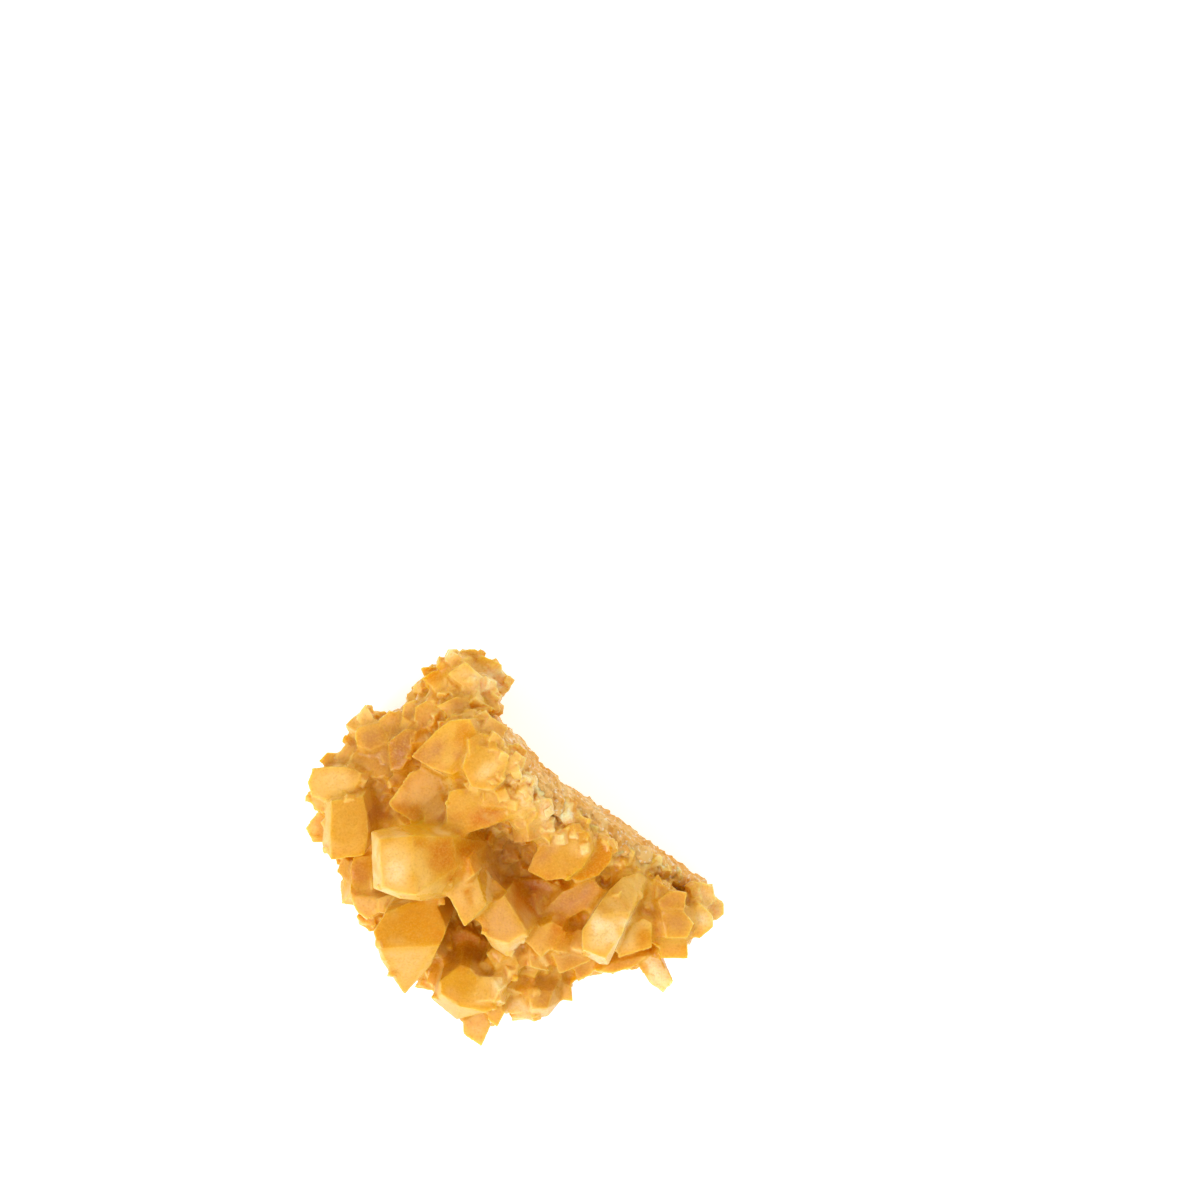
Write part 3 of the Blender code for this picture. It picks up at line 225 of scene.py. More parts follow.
def add_rhomb(bm, at, aim, spin, size, stretch):
    """Adds a calcite rhomb, a cube sheared along its long axis, which points along aim."""
    one = bmesh.new()
    edges = [
        Vector((math.sin(CALCITE_LEAN) * math.cos(turn), math.sin(CALCITE_LEAN) * math.sin(turn),
                stretch * math.cos(CALCITE_LEAN)))
        for turn in (0.0, math.tau / 3, 2 * math.tau / 3)
    ]
    shear = Matrix(edges).transposed().to_4x4()
    stand = Vector(aim).to_track_quat("Z", "Y").to_matrix().to_4x4() @ Matrix.Rotation(spin, 4, "Z")
    bmesh.ops.create_cube(one, size=size, matrix=Matrix.Translation(at) @ stand @ shear)
    bmesh.ops.recalc_face_normals(one, faces=one.faces)
    one.to_mesh(rhomb_mesh)
    one.free()
    bm.from_mesh(rhomb_mesh)


def seen(tree, x, y):
    """The point and the face of a body that the camera sees when it looks towards (x, y)."""
    sight = (Vector((x, y, SIGHT_HEIGHT)) - CAMERA).normalized()
    at, _, face, _ = tree.ray_cast(CAMERA, sight)
    return at, face


def point_on(triangle, rng):
    """A random point of a triangle, each as likely as any other."""
    a, b, c = (v.co for v in triangle.verts)
    u, w = rng.random(), rng.random()
    if u + w > 1:
        u, w = 1 - u, 1 - w
    return a + u * (b - a) + w * (c - a)


def leaning(normal, spread, stretches, rng):
    """How a strewn rhomb stands: an aim near the normal, a turn about it and a stretch."""
    aim = normal + Vector([rng.gauss(0, spread) for _ in range(3)])
    return aim, rng.uniform(0, math.tau), rng.uniform(*stretches)


def applied(piece):
    """The piece with its modifiers made part of its mesh."""
    evaluated = piece.evaluated_get(bpy.context.evaluated_depsgraph_get())
    piece.data = bpy.data.meshes.new_from_object(evaluated)
    piece.modifiers.clear()
    return piece


def fused(name, bm, voxel):
    """One closed skin round every overlapping body, as a mesh object."""
    mesh = bpy.data.meshes.new(name)
    bm.to_mesh(mesh)
    bm.free()
    piece = bpy.data.objects.new(name, mesh)
    bpy.context.scene.collection.objects.link(piece)
    remesh = piece.modifiers.new("fuse", "REMESH")
    remesh.mode = "VOXEL"
    remesh.voxel_size = voxel
    return applied(piece)


def closed_gaps(bm, voxel, reach, lowest):
    """The body grown by reach and shrunk again, so that its narrow gaps are filled down to lowest."""
    mesh = bpy.data.meshes.new("mass")
    bm.to_mesh(mesh)
    piece = bpy.data.objects.new("mass", mesh)
    bpy.context.scene.collection.objects.link(piece)
    for strength in (reach, -reach):
        remesh = piece.modifiers.new("skin", "REMESH")
        remesh.mode = "VOXEL"
        remesh.voxel_size = voxel
        push = piece.modifiers.new("push", "DISPLACE")
        push.mid_level = 0.0
        push.strength = strength
    mass = applied(piece).data
    bpy.data.objects.remove(piece)
    for v in mass.vertices:
        v.co.z = max(v.co.z, lowest)
    return mass


def thinned(piece, faces):
    """Takes triangles out of the flat places until so many are left."""
    bm = bmesh.new()
    bm.from_mesh(piece.data)
    bmesh.ops.triangulate(bm, faces=bm.faces)
    count = len(bm.faces)
    bm.to_mesh(piece.data)
    bm.free()
    if count > faces:
        step = piece.modifiers.new("thin", "DECIMATE")
        step.ratio = faces / count
        applied(piece)
    return piece


def tidied(piece):
    """Leaves only the largest body of the piece, and nothing of it below the table."""
    bm = bmesh.new()
    bm.from_mesh(piece.data)
    left, bodies = set(bm.verts), []
    for first in bm.verts:
        if first not in left:
            continue
        left.discard(first)
        body, todo = [first], [first]
        while todo:
            v = todo.pop()
            for edge in v.link_edges:
                other = edge.other_vert(v)
                if other in left:
                    left.discard(other)
                    body.append(other)
                    todo.append(other)
        bodies.append(body)
    bodies.sort(key=len)
    bmesh.ops.delete(bm, geom=[v for body in bodies[:-1] for v in body], context="VERTS")
    for v in bm.verts:
        v.co.z = max(v.co.z, 0.0)
    bm.to_mesh(piece.data)
    bm.free()
    return piece


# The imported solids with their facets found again, and the triangles of the crust to strew rhombs on
crust = merged_copy("crystals")
facet_of, facet_area, facet_normal = facet_groups(crust)
crust_tree = BVHTree.FromBMesh(crust)
facet_along = [normal.orthogonal().normalized() for normal in facet_normal]
crust_facets = len(facet_area)

rock = merged_copy("matrix")
rock_tree = BVHTree.FromBMesh(rock)
scatter = crust.copy()
tags = scatter.faces.layers.int.new("facet")
for face in scatter.faces:
    face[tags] = facet_of[face.index]
bmesh.ops.triangulate(scatter, faces=scatter.faces)
triangles = list(scatter.faces)
weights = [face.calc_area() for face in triangles]

OFF_SURFACE = 0.15  # a ray starts this far from the face that it leaves


def ray_aims(count, seed):
    """Directions spread evenly and at random."""
    rng = random.Random(seed)
    return [Vector([rng.gauss(0, 1) for _ in range(3)]).normalized() for _ in range(count)]


def free_share(tree, at, normal, aims, reach):
    """How much of the space before a point is free within reach, from 0 to 1."""
    total = 0.0
    for aim in aims:
        way = ((aim if aim.dot(normal) > 0 else -aim) + normal).normalized()
        far = tree.ray_cast(at + OFF_SURFACE * normal, way, reach)[3]
        total += 1.0 if far is None else far / reach
    return total / len(aims)


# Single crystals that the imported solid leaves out, which stand on the crust or else on the matrix
strewn = bmesh.new()
for x, y, lift, size, stretch, lean, turn in SINGLES.values():
    at = seen(crust_tree, x, y)[0] or seen(rock_tree, x, y)[0]
    lean, turn = math.radians(lean), math.radians(turn)
    aim = Vector((math.sin(lean) * math.cos(turn), math.sin(lean) * math.sin(turn), math.cos(lean)))
    if at is not None:
        add_rhomb(strewn, at + lift * aim, aim, turn, size, stretch)

# Middle-sized rhombs that close the gaps between the large crystals
FILL_SEED = 57
FILL_TRIES = 1500
FILL_SIZES = (1.7, 3.4)
FILL_RISES = (-0.1, 0.15)  # above the facet, as shares of the size
FILL_LOWEST = 1.2  # height above the table, as a share of the size
FILL_SPREAD = 0.5
FILL_STRETCHES = (0.9, 1.5)
FILL_REACH = 4.0
FILL_ROOM = 0.7  # only where less of the space within reach is free than this
FACES_UP = 0.2  # the least upward share of a facet's normal
KEEP_CLEAR = 3.8  # from the places of the facets named above
KNOB_FROM = 17.0  # the knob starts here along Y, and its crystals are smaller
KNOB_SHARE = 0.6

rng = random.Random(FILL_SEED)
aims = ray_aims(count=10, seed=3)
for triangle in rng.choices(triangles, weights, k=FILL_TRIES):
    normal = triangle.normal
    at = point_on(triangle, rng)
    size = rng.uniform(*FILL_SIZES)
    rise = rng.uniform(*FILL_RISES)
    size *= KNOB_SHARE if at.y > KNOB_FROM else 1.0
    aim, spin, stretch = leaning(normal, FILL_SPREAD, FILL_STRETCHES, rng)
    clear = all(math.hypot(at.x - x, at.y - y) > KEEP_CLEAR for x, y, *_ in FACET_TONES.values())
    upper = normal.z > FACES_UP and at.z > FILL_LOWEST * size
    if clear and upper and free_share(crust_tree, at, normal, aims, FILL_REACH) < FILL_ROOM:
        add_rhomb(strewn, at + rise * size * normal, aim, spin, size, stretch)

# A smooth body that fills the narrow gaps between all these crystals
MASS_VOXEL = 0.35
MASS_REACH = 0.7
MASS_LOWEST = 0.3

whole = crust.copy()
extra = bpy.data.meshes.new("strewn")
fill_facets = len(strewn.faces)
strewn.to_mesh(extra)
strewn.clear()
whole.from_mesh(extra)
mass = closed_gaps(whole, MASS_VOXEL, MASS_REACH, MASS_LOWEST)

# Druse: small rhombs on the small facets, dense on the ragged sides and next to the matrix
DRUSE_SEED = 21
DRUSE_TRIES = 5200
DRUSE_SIZES = (0.45, 1.25)
DRUSE_STRETCHES = (0.9, 1.4)
DRUSE_DEPTH = 0.1  # in the facet, as a share of the size
DRUSE_LOWEST = 1.4  # height above the table
DRUSE_SPREAD = 0.35
ROCK_NEAR = 3.0  # closer than this to the matrix, druse is larger and leans more
ROCK_GROWTH = 1.25
ROCK_SPREAD = 0.5
RAGGED_BELOW = 9.0  # the sides of the crust are ragged up to here
STEEP = 0.5  # the most upward share of the normal on those sides
LARGE_FACET = 14.0  # square millimetres, above which a facet stays clean
ROCK_COVER = 0.9
RAGGED_COVER = 0.5
SMALL_COVER = 0.15
MIDDLE_COVER = 0.05


def druse_cover(at, normal, area, near):
    """The share of the tries that leave a rhomb at a point of a facet of that area."""
    if near:
        return ROCK_COVER
    if area > LARGE_FACET:
        return 0.0
    if area >= SMALL_FACET:
        return MIDDLE_COVER
    return RAGGED_COVER if at.z < RAGGED_BELOW and normal.z < STEEP else SMALL_COVER


rng = random.Random(DRUSE_SEED)
for triangle in rng.choices(triangles, weights, k=DRUSE_TRIES):
    normal = triangle.normal
    at = point_on(triangle, rng)
    near = rock_tree.find_nearest(at)[3] < ROCK_NEAR
    keep = rng.random() < druse_cover(at, normal, facet_area[triangle[tags]], near)
    size = rng.uniform(*DRUSE_SIZES)
    aim, spin, stretch = leaning(normal, ROCK_SPREAD if near else DRUSE_SPREAD, DRUSE_STRETCHES, rng)
    if keep and at.z > DRUSE_LOWEST:
        foot = at - DRUSE_DEPTH * size * normal
        add_rhomb(strewn, foot, aim, spin, size * (ROCK_GROWTH if near else 1.0), stretch)
scatter.free()

# Blunt grains that climb the inner side of the matrix wall and stand along its top
WALL_SEED = 77
WALL_TRIES = 3000
WALL_SIZES = (0.9, 2.0)
WALL_SPREAD = 0.7
WALL_STRETCHES = (0.8, 1.1)
WALL_RISE = 0.05  # above the wall, as a share of the size
WALL_INNER = Vector((-0.5, -0.7, 0.5))  # towards the crystals
FACES_IN = 0.15  # the least share of a face's normal along that direction
WALL_BACK = 3.0  # behind this along Y the grains have their full size
WALL_FRONT_SHARE = 0.75
UP = Vector((0, 0, 1))
UP_START = 0.1  # a look straight up starts this far above the wall

wall_facets = crust_facets + fill_facets + len(strewn.faces)
wall = rock.copy()
bmesh.ops.triangulate(wall, faces=wall.faces)
inner = [face for face in wall.faces if face.normal.dot(WALL_INNER) > FACES_IN]
rng = random.Random(WALL_SEED)
for triangle in rng.choices(inner, [face.calc_area() for face in inner], k=WALL_TRIES):
    at = point_on(triangle, rng)
    size = rng.uniform(*WALL_SIZES) * (1.0 if at.y > WALL_BACK else WALL_FRONT_SHARE)
    aim, spin, stretch = leaning(triangle.normal, WALL_SPREAD, WALL_STRETCHES, rng)
    if at.z > size and crust_tree.ray_cast(at + UP_START * UP, UP)[0] is None:
        add_rhomb(strewn, at + WALL_RISE * size * triangle.normal, aim, spin, size, stretch)
wall.free()

# All of it together, with a facet number for every face that can be told apart, fused into one skin
strewn.to_mesh(extra)
strewn.free()
whole.from_mesh(extra)
bpy.data.meshes.remove(extra)
whole.faces.ensure_lookup_table()
whole.faces.index_update()
whole.normal_update()
whole_tree = BVHTree.FromBMesh(whole)
for face in whole.faces[len(crust.faces):]:
    facet_of.append(len(facet_area))
    facet_area.append(face.calc_area())
    facet_normal.append(face.normal.copy())
    facet_along.append(face.normal.orthogonal().normalized())
whole.from_mesh(mass)
bpy.data.meshes.remove(mass)
crystals = fused("honey_crystals", whole, CRUST_VOXEL)

# Growth steps, low terraces on the large facets, and a fine unevenness
ROUGHNESS_HEIGHT = 0.03
ROUGHNESS_SCALE = 1.7
STEP_HEIGHT = 0.12
STEP_LEVELS = 3
STEP_ALONG = 0.12  # how fast the terraces change along a facet
STEP_ACROSS = 0.6
ON_FACET = 0.12  # skin farther than this from a facet has no steps
PLAIN_EVERY = 3  # one facet in so many has none either
FACETS_APART = (7.3, 3.1)  # moves each facet's terraces to a place of their own in the noise


def grow_steps(piece):
    """Gives the skin of the piece its terraces and its unevenness."""
    mesh = piece.data
    apart_along, apart_up = FACETS_APART
    for v, normal in zip(mesh.vertices, [n.vector.copy() for n in mesh.vertex_normals]):
        _, _, face, far = whole_tree.find_nearest(v.co)
        number = facet_of[face]
        rise = ROUGHNESS_HEIGHT * noise.noise(v.co * ROUGHNESS_SCALE)
        if facet_area[number] > SMALL_FACET and far < ON_FACET and number % PLAIN_EVERY:
            along = facet_along[number]
            across = facet_normal[number].cross(along)
            u, w = v.co.dot(along), v.co.dot(across)
            along_noise = STEP_ALONG * u + apart_along * number
            wave = noise.noise(Vector((along_noise, STEP_ACROSS * w, apart_up * number)))
            rise += STEP_HEIGHT * math.floor(STEP_LEVELS * wave) / STEP_LEVELS
        v.co += rise * normal


grow_steps(crystals)
tidied(thinned(crystals, CRUST_FACES))


def openness(piece, rays, reach, seed):
    """For each vertex how much of the space before it is free within reach."""
    mesh = piece.data
    tree = BVHTree.FromPolygons([v.co for v in mesh.vertices], [p.vertices for p in mesh.polygons])
    aims = ray_aims(rays, seed)
    skin = zip(mesh.vertices, mesh.vertex_normals)
    return [free_share(tree, v.co, normal.vector, aims, reach) for v, normal in skin]


free = openness(crystals, rays=10, reach=6.0, seed=5)

# Each packed facet and each strewn rhomb has a tone of its own by chance, with painted light and shade
# laid on it: paler on the side turned to LIT_SIDE, where the lamps are, and deeper on the far side. Only
# those named above have theirs given in the table.
TONE_SEED = 8
RHOMB_FACES = 6
LIT_SIDE = Vector((-0.62, -0.7, 0.35)).normalized()
PAINTED_LIGHT_PALE = 0.35
PAINTED_SHADE_DEEP = 0.5
FACET_PALE = 0.15  # the most by which a rhomb's own faces differ
MOST_TONE = (0.5, 0.5, 0.7)  # how pale, warm and deep chance makes a crystal at most
MOST_GRAIN_TONE = (0.7, 0.3, 0.6)  # the same for the grains on the wall
FULLY_PALE = 0.1  # the share of those grains that are frosted through

draw = random.Random(TONE_SEED).random
facet_tone = []
for number, normal in enumerate(facet_normal):
    if number < crust_facets or (number - crust_facets) % RHOMB_FACES == 0:
        most_pale, most_warm, most_deep = MOST_TONE
        body_tone = most_pale * draw() ** 2, most_warm * draw() ** 2, most_deep * draw()
        if number >= wall_facets:
            most_pale, most_warm, most_deep = MOST_GRAIN_TONE
            grain_pale = 1.0 if draw() < FULLY_PALE else most_pale * draw()
            body_tone = grain_pale, most_warm * draw(), most_deep * draw()
    body_pale, warm, body_deep = body_tone
    side = normal.dot(LIT_SIDE)
    pale = body_pale + PAINTED_LIGHT_PALE * max(0.0, side) + FACET_PALE * draw()
    deep = body_deep + PAINTED_SHADE_DEEP * max(0.0, -side)
    facet_tone.append([min(1.0, pale), warm, min(1.0, deep)])
for x, y, *wanted in FACET_TONES.values():
    face = seen(crust_tree, x, y)[1]
    if face is not None:
        facet_tone[facet_of[face]] = wanted

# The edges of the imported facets, as a cloud of points to measure from
EDGE_SPACING = 0.3

edge_points = []
for edge in crust.edges:
    if edge.calc_face_angle(0.0) > CLEAR_EDGE:
        a, b = edge.verts[0].co, edge.verts[1].co
        count = 1 + int((b - a).length / EDGE_SPACING)
        edge_points.extend(a.lerp(b, i / count) for i in range(count + 1))
edges_near = KDTree(len(edge_points))
for i, at in enumerate(edge_points):
    edges_near.insert(at, i)
edges_near.balance()

# The attribute "tone" holds how pale, warm, deep and dull the skin is, with painted light and shade in
# its pale and deep parts. The attribute "space" holds how free the space before it is and how far away
# the nearest clear edge is.
RIM_REACH = 4.0
GAP_SHADE_TONE = np.array((0.0, 0.15, 0.9), np.float32)
MASS_FROM = 0.08  # skin farther than this from all facets starts to take the painted shade of the filled gaps
MASS_OVER = 0.25
DULL_TURN = 12.9  # gives each facet another dullness than its neighbours
PATCH_WOBBLE = 0.8
WOBBLE_SCALE = 0.5
STREWN_TAKES = 0.75  # the share of a patch that a strewn rhomb takes, or more when it is warm

count = len(crystals.data.vertices)
tones = np.ones((count, 4), np.float32)
spaces = np.ones((count, 4), np.float32)
places = np.empty((count, 3), np.float32)
taken = np.ones(count, np.float32)
wobble = np.empty(count, np.float32)
for i, v in enumerate(crystals.data.vertices):
    _, _, face, off = whole_tree.find_nearest(v.co)
    number = facet_of[face]
    tone = facet_tone[number]
    filled = min(1.0, max(0.0, off - MASS_FROM) / MASS_OVER)
    tones[i, :3] = tone
    tones[i, :3] += filled * (GAP_SHADE_TONE - tones[i, :3])
    tones[i, 3] = 0.5 + 0.5 * math.sin(DULL_TURN * number)
    if number >= crust_facets:
        taken[i] = STREWN_TAKES + (1.0 - STREWN_TAKES) * tone[1]
    spaces[i, :2] = free[i], min(1.0, edges_near.find(v.co)[2] / RIM_REACH)
    places[i] = v.co
    wobble[i] = 1.0 + PATCH_WOBBLE * noise.noise(v.co * WOBBLE_SCALE)
for x, y, reach, *wanted in PATCHES.values():
    far = np.hypot(places[:, 0] - x, places[:, 1] - y) / reach * wobble
    share = (taken * np.exp(-far ** 3))[:, None]
    tones[:, :3] += share * (np.array(wanted, np.float32) - tones[:, :3])
for name, values in (("tone", tones), ("space", spaces)):
    crystals.data.attributes.new(name, "FLOAT_COLOR", "POINT").data.foreach_set("color", values.ravel())
crust.free()
crystals.data.transform(Matrix.Scale(MM, 4))
crystals.data.shade_smooth()
crystals.data.set_sharp_from_angle(angle=SHARP)


def new_material(name):
    """A material with its nodes and its links."""
    material = bpy.data.materials.new(name)
    material.use_nodes = True
    return material, material.node_tree.nodes, material.node_tree.links


def blend_colours(nodes, links, share, first, second):
    """A Mix node from one colour to another, each a socket or a plain colour."""
    mix = nodes.new("ShaderNodeMix")
    mix.data_type = "RGBA"
    links.new(share, mix.inputs[0])
    for socket, colour in ((mix.inputs[6], first), (mix.inputs[7], second)):
        if isinstance(colour, tuple):
            socket.default_value = (*colour, 1.0)
        else:
            links.new(colour, socket)
    return mix.outputs[2]


def attribute_parts(nodes, links, name):
    """The four values that an attribute of the mesh holds."""
    attribute = nodes.new("ShaderNodeAttribute")
    attribute.attribute_name = name
    parts = nodes.new("ShaderNodeSeparateColor")
    links.new(attribute.outputs["Color"], parts.inputs[0])
    return [*parts.outputs, attribute.outputs["Alpha"]]


def spread(nodes, links, source, low, high, to_low=0.0, to_high=1.0):
    """A value between low and high, spread from to_low to to_high and clamped there."""
    step = nodes.new("ShaderNodeMapRange")
    links.new(source, step.inputs[0])
    for socket, value in zip(step.inputs[1:5], (low, high, to_low, to_high)):
        socket.default_value = value
    return step.outputs[0]


def layered(nodes, links, ground, layers):
    """A colour with others laid over it in turn, each as (mask, from, to, greatest share, colour)."""
    for mask, low, high, most, colour in layers:
        share = spread(nodes, links, mask, low, high, 0.0, most)
        ground = blend_colours(nodes, links, share, ground, colour)
    return ground


def noise_at(nodes, links, place, scale, detail):
    """A cloudy noise, from 0 to 1."""
    texture = nodes.new("ShaderNodeTexNoise")
    links.new(place, texture.inputs["Vector"])
    texture.inputs["Scale"].default_value = scale
    texture.inputs["Detail"].default_value = detail
    texture.inputs["Roughness"].default_value = 0.55
    return texture.outputs[0]


def bump(nodes, links, height, distance, strength, onto=None):
    """A surface raised by a height, onto another one when that is given."""
    step = nodes.new("ShaderNodeBump")
    step.inputs["Strength"].default_value = strength
    step.inputs["Distance"].default_value = distance
    links.new(height, step.inputs["Height"])
    if onto is not None:
        links.new(onto, step.inputs["Normal"])
    return step.outputs[0]


def sugary_grain():
    """A node group that both kinds of calcite use: the height of a fine grain, and a mask of specks."""
    group = bpy.data.node_groups.new("sugary_grain", "ShaderNodeTree")
    group.interface.new_socket("Place", in_out="INPUT", socket_type="NodeSocketVector")
    for name in ("Grain Scale", "Speck Scale", "Speck From", "Speck To"):
        group.interface.new_socket(name, in_out="INPUT", socket_type="NodeSocketFloat")
    group.interface.new_socket("Height", in_out="OUTPUT", socket_type="NodeSocketFloat")
    group.interface.new_socket("Specks", in_out="OUTPUT", socket_type="NodeSocketFloat")
    nodes, links = group.nodes, group.links
    given, result = nodes.new("NodeGroupInput"), nodes.new("NodeGroupOutput")
    grain = nodes.new("ShaderNodeTexNoise")
    grain.inputs["Detail"].default_value = 3.0
    links.new(given.outputs["Place"], grain.inputs["Vector"])
    links.new(given.outputs["Grain Scale"], grain.inputs["Scale"])
    links.new(grain.outputs[0], result.inputs["Height"])
    dots = nodes.new("ShaderNodeTexNoise")
    links.new(given.outputs["Place"], dots.inputs["Vector"])
    links.new(given.outputs["Speck Scale"], dots.inputs["Scale"])
    step = nodes.new("ShaderNodeMapRange")
    links.new(dots.outputs[0], step.inputs["Value"])
    links.new(given.outputs["Speck From"], step.inputs["From Min"])
    links.new(given.outputs["Speck To"], step.inputs["From Max"])
    links.new(step.outputs[0], result.inputs["Specks"])
    return group


def grain_in(nodes, links, place, grain_scale, speck_scale, speck_from, speck_to):
    """The group placed in a material with its own values, as its height and its specks."""
    placed = nodes.new("ShaderNodeGroup")
    placed.node_tree = grain_group
    links.new(place, placed.inputs["Place"])
    placed.inputs["Grain Scale"].default_value = grain_scale
    placed.inputs["Speck Scale"].default_value = speck_scale
    placed.inputs["Speck From"].default_value = speck_from
    placed.inputs["Speck To"].default_value = speck_to
    return placed.outputs["Height"], placed.outputs["Specks"]


grain_group = sugary_grain()
honey, nodes, links = new_material("honey_calcite_cloudy")
shader = nodes["Principled BSDF"]
place = nodes.new("ShaderNodeTexCoord").outputs["Object"]
pale, warm, deep, dull = attribute_parts(nodes, links, "tone")
space, rim, *_ = attribute_parts(nodes, links, "space")
clouds = noise_at(nodes, links, place, scale=260, detail=3)
wisps = noise_at(nodes, links, place, scale=900, detail=2)
swell = noise_at(nodes, links, place, scale=700, detail=2)
grain, dust = grain_in(nodes, links, place, 4200, speck_scale=3600, speck_from=0.45, speck_to=0.7)
_, flecks = grain_in(nodes, links, place, 4200, speck_scale=2900, speck_from=0.5, speck_to=0.3)
warm_and_deep = nodes.new("ShaderNodeMath")
warm_and_deep.operation = "MULTIPLY"
links.new(warm, warm_and_deep.inputs[0])
links.new(deep, warm_and_deep.inputs[1])

# The colour of clear honey, and what is laid over it, from the clouds inside to the flecks on the skin.
# Pale, deep, rim and space also carry painted light and shade
body = layered(nodes, links, HONEY, (
    (clouds, 0.4, 0.75, 0.35, GOLD),
    (deep, 0.0, 0.6, 1.0, AMBER),
    (deep, 0.6, 1.0, 1.0, UMBER),
    (warm, 0.0, 1.0, 1.0, PEACH),
    (warm_and_deep.outputs[0], 0.0, 1.0, 1.0, BROWN),
    (pale, 0.0, 0.7, 1.0, CREAM),
    (pale, 0.75, 1.0, 0.9, FROST),
    # painted light along the clear edges
    (rim, 0.35, 0.05, 0.35, HONEY),
    (rim, 0.06, 0.02, 0.1, CREAM),
    (wisps, 0.5, 0.8, 0.25, AMBER),
    # painted shade: amber and umber where little of the space before the skin is free
    (space, 0.95, 0.6, 0.75, AMBER),
    (space, 0.6, 0.3, 0.5, UMBER),
    (dust, 0.0, 1.0, 0.35, GOLD),
    (flecks, 0.0, 1.0, 0.25, SHADE),
))
links.new(body, shader.inputs["Base Color"])
links.new(spread(nodes, links, dull, 0.0, 1.0, to_low=0.14, to_high=0.45), shader.inputs["Roughness"])
shader.inputs["Subsurface Weight"].default_value = 1.0
shader.inputs["Subsurface Radius"].default_value = (1.0, 0.9, 0.75)
shader.inputs["Subsurface Scale"].default_value = 0.0013
shader.inputs["Subsurface Anisotropy"].default_value = 0.8
shader.inputs["Transmission Weight"].default_value = 0.04
shader.inputs["IOR"].default_value = 1.5
shader.inputs["Specular IOR Level"].default_value = 0.2
surface = bump(nodes, links, swell, distance=0.0002, strength=0.35)
surface = bump(nodes, links, grain, distance=0.00006, strength=0.4, onto=surface)
links.new(surface, shader.inputs["Normal"])
crystals.data.materials.clear()
crystals.data.materials.append(honey)
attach(crystals, "root")
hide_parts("crystals")

# The matrix: a broken piece of granular rock under the crystals, bare on its wall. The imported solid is
# covered with sugary grains, fused to it.
ROCK_VOXEL = 0.2
ROCK_FACES = 150_000
GRAIN_SEED = 33
GRAIN_TRIES = 5200
GRAIN_SIZES = (0.6, 1.6)
GRAIN_SHARES = (0.6, 1.0)  # of that size, so that small grains are more common
GRAIN_SPREAD = 0.8
GRAIN_STRETCHES = (0.9, 1.3)
GRAIN_DEPTH = 0.1  # in the rock, as a share of the size
GRAIN_LOWEST = 0.75  # height above the table, as a share of the size
FACES_DOWN = -0.5  # no grains where a face looks down more than this
ROCK_TAN = (0.78, 0.38, 0.05)
ROCK_SAND = (0.83, 0.53, 0.17)
ROCK_GLINT = (0.93, 0.82, 0.6)
ROCK_STAIN = (0.5, 0.22, 0.03)
ROCK_PAINTED_SHADE = (0.72, 0.3, 0.01)

grains = rock.copy()
bmesh.ops.triangulate(rock, faces=rock.faces)
bare = [face for face in rock.faces if face.normal.z > FACES_DOWN]
rng = random.Random(GRAIN_SEED)
for triangle in rng.choices(bare, [face.calc_area() for face in bare], k=GRAIN_TRIES):
    at = point_on(triangle, rng)
    size = rng.uniform(*GRAIN_SIZES) * rng.uniform(*GRAIN_SHARES)
    aim, spin, stretch = leaning(triangle.normal, GRAIN_SPREAD, GRAIN_STRETCHES, rng)
    if at.z > GRAIN_LOWEST * size:
        add_rhomb(grains, at - GRAIN_DEPTH * size * triangle.normal, aim, spin, size, stretch)
rock.free()
matrix = tidied(thinned(fused("sugary_rock", grains, ROCK_VOXEL), ROCK_FACES))
spaces = np.ones((len(matrix.data.vertices), 4), np.float32)
spaces[:, 0] = openness(matrix, rays=8, reach=3.0, seed=6)
matrix.data.attributes.new("space", "FLOAT_COLOR", "POINT").data.foreach_set("color", spaces.ravel())
matrix.data.transform(Matrix.Scale(MM, 4))
matrix.data.shade_smooth()
matrix.data.set_sharp_from_angle(angle=SHARP)

sugar, nodes, links = new_material("sugary_matrix_grains")
shader = nodes["Principled BSDF"]
place = nodes.new("ShaderNodeTexCoord").outputs["Object"]
space, *_ = attribute_parts(nodes, links, "space")
patches = noise_at(nodes, links, place, scale=300, detail=3)
grain, specks = grain_in(nodes, links, place, 5200, speck_scale=1500, speck_from=0.56, speck_to=0.66)
_, stains = grain_in(nodes, links, place, 5200, speck_scale=1100, speck_from=0.45, speck_to=0.34)
body = layered(nodes, links, ROCK_TAN, (
    (patches, 0.4, 0.65, 1.0, ROCK_SAND),
    # pale specks: pale sugary grains, with painted glints on them
    (specks, 0.2, 1.0, 0.7, ROCK_GLINT),
    (stains, 0.0, 1.0, 0.45, ROCK_STAIN),
    # painted shade in the rock's crevices, where little space is free
    (space, 0.85, 0.35, 1.0, ROCK_PAINTED_SHADE),
))
links.new(body, shader.inputs["Base Color"])
links.new(spread(nodes, links, specks, 0.0, 1.0, to_low=0.5, to_high=0.2), shader.inputs["Roughness"])
shader.inputs["Specular IOR Level"].default_value = 0.3
shader.inputs["Subsurface Weight"].default_value = 0.6
shader.inputs["Subsurface Radius"].default_value = (1.0, 0.7, 0.45)
shader.inputs["Subsurface Scale"].default_value = 0.0005
links.new(bump(nodes, links, grain, distance=0.00008, strength=0.6), shader.inputs["Normal"])
matrix.data.materials.clear()
matrix.data.materials.append(sugar)
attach(matrix, "root")
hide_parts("matrix")

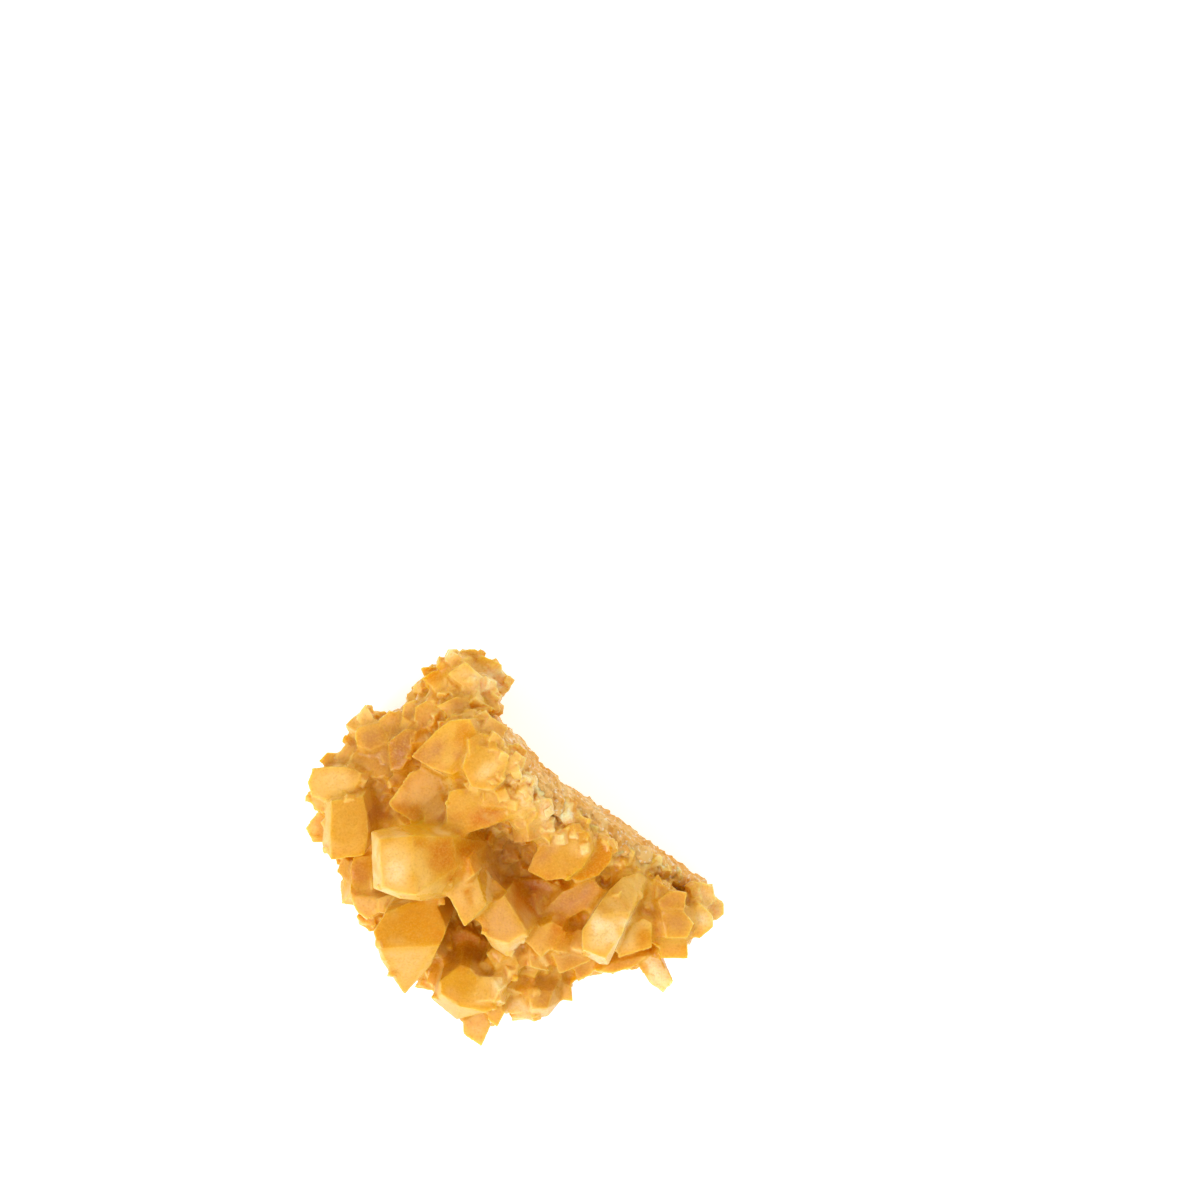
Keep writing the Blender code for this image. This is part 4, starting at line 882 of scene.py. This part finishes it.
# The setting: a plain white table, soft studio light that comes mostly from the lower left, and the
# camera straight above, as far to the right as the photograph's frame needs. Lengths are in metres.
FLOOR_SIZE = 3.0
FLOOR_WHITE = (0.93, 0.93, 0.93, 1.0)
FLOOR_GLOW = 0.45
PURE_WHITE = (1.0, 1.0, 1.0, 1.0)
LIT_POINT = (0, 0, 0.01)
AIR_LIGHT = 0.68
CAMERA_LENS = 189.0
CAMERA_FILM = 36.0

bm = bmesh.new()
bmesh.ops.create_grid(bm, x_segments=1, y_segments=1, size=FLOOR_SIZE / 2)
floor_mesh = bpy.data.meshes.new("floor")
bm.to_mesh(floor_mesh)
bm.free()
table_top = bpy.data.objects.new("floor", floor_mesh)
bpy.context.scene.collection.objects.link(table_top)
paper, nodes, links = new_material("white_table")
shader = nodes["Principled BSDF"]
shader.inputs["Base Color"].default_value = FLOOR_WHITE
shader.inputs["Roughness"].default_value = 0.9
shader.inputs["Emission Color"].default_value = PURE_WHITE
shader.inputs["Emission Strength"].default_value = FLOOR_GLOW
table_top.data.materials.append(paper)


def lamp(name, at, size, power):
    """A round, soft studio light turned to the object."""
    data = bpy.data.lights.new(name, "AREA")
    data.shape = "DISK"
    data.size = size
    data.energy = power
    made = bpy.data.objects.new(name, data)
    made.location = at
    made.rotation_euler = (Vector(LIT_POINT) - Vector(at)).to_track_quat("-Z", "Y").to_euler()
    bpy.context.scene.collection.objects.link(made)


lamp("key_light", at=(-0.35, -0.4, 0.6), size=0.5, power=3.3)
lamp("fill_light", at=(0.3, 0.35, 0.5), size=0.4, power=0.8)
world = bpy.data.worlds.new("studio")
bpy.context.scene.world = world
world.use_nodes = True
air = world.node_tree.nodes["Background"]
air.inputs["Color"].default_value = PURE_WHITE
air.inputs["Strength"].default_value = AIR_LIGHT
bpy.context.scene.view_settings.view_transform = "Standard"

lens = bpy.data.cameras.new("camera")
lens.lens = CAMERA_LENS
lens.sensor_width = CAMERA_FILM
lens.clip_start = 0.01
camera = bpy.data.objects.new("camera", lens)
camera.location = MM * CAMERA
bpy.context.scene.collection.objects.link(camera)
bpy.context.scene.camera = camera
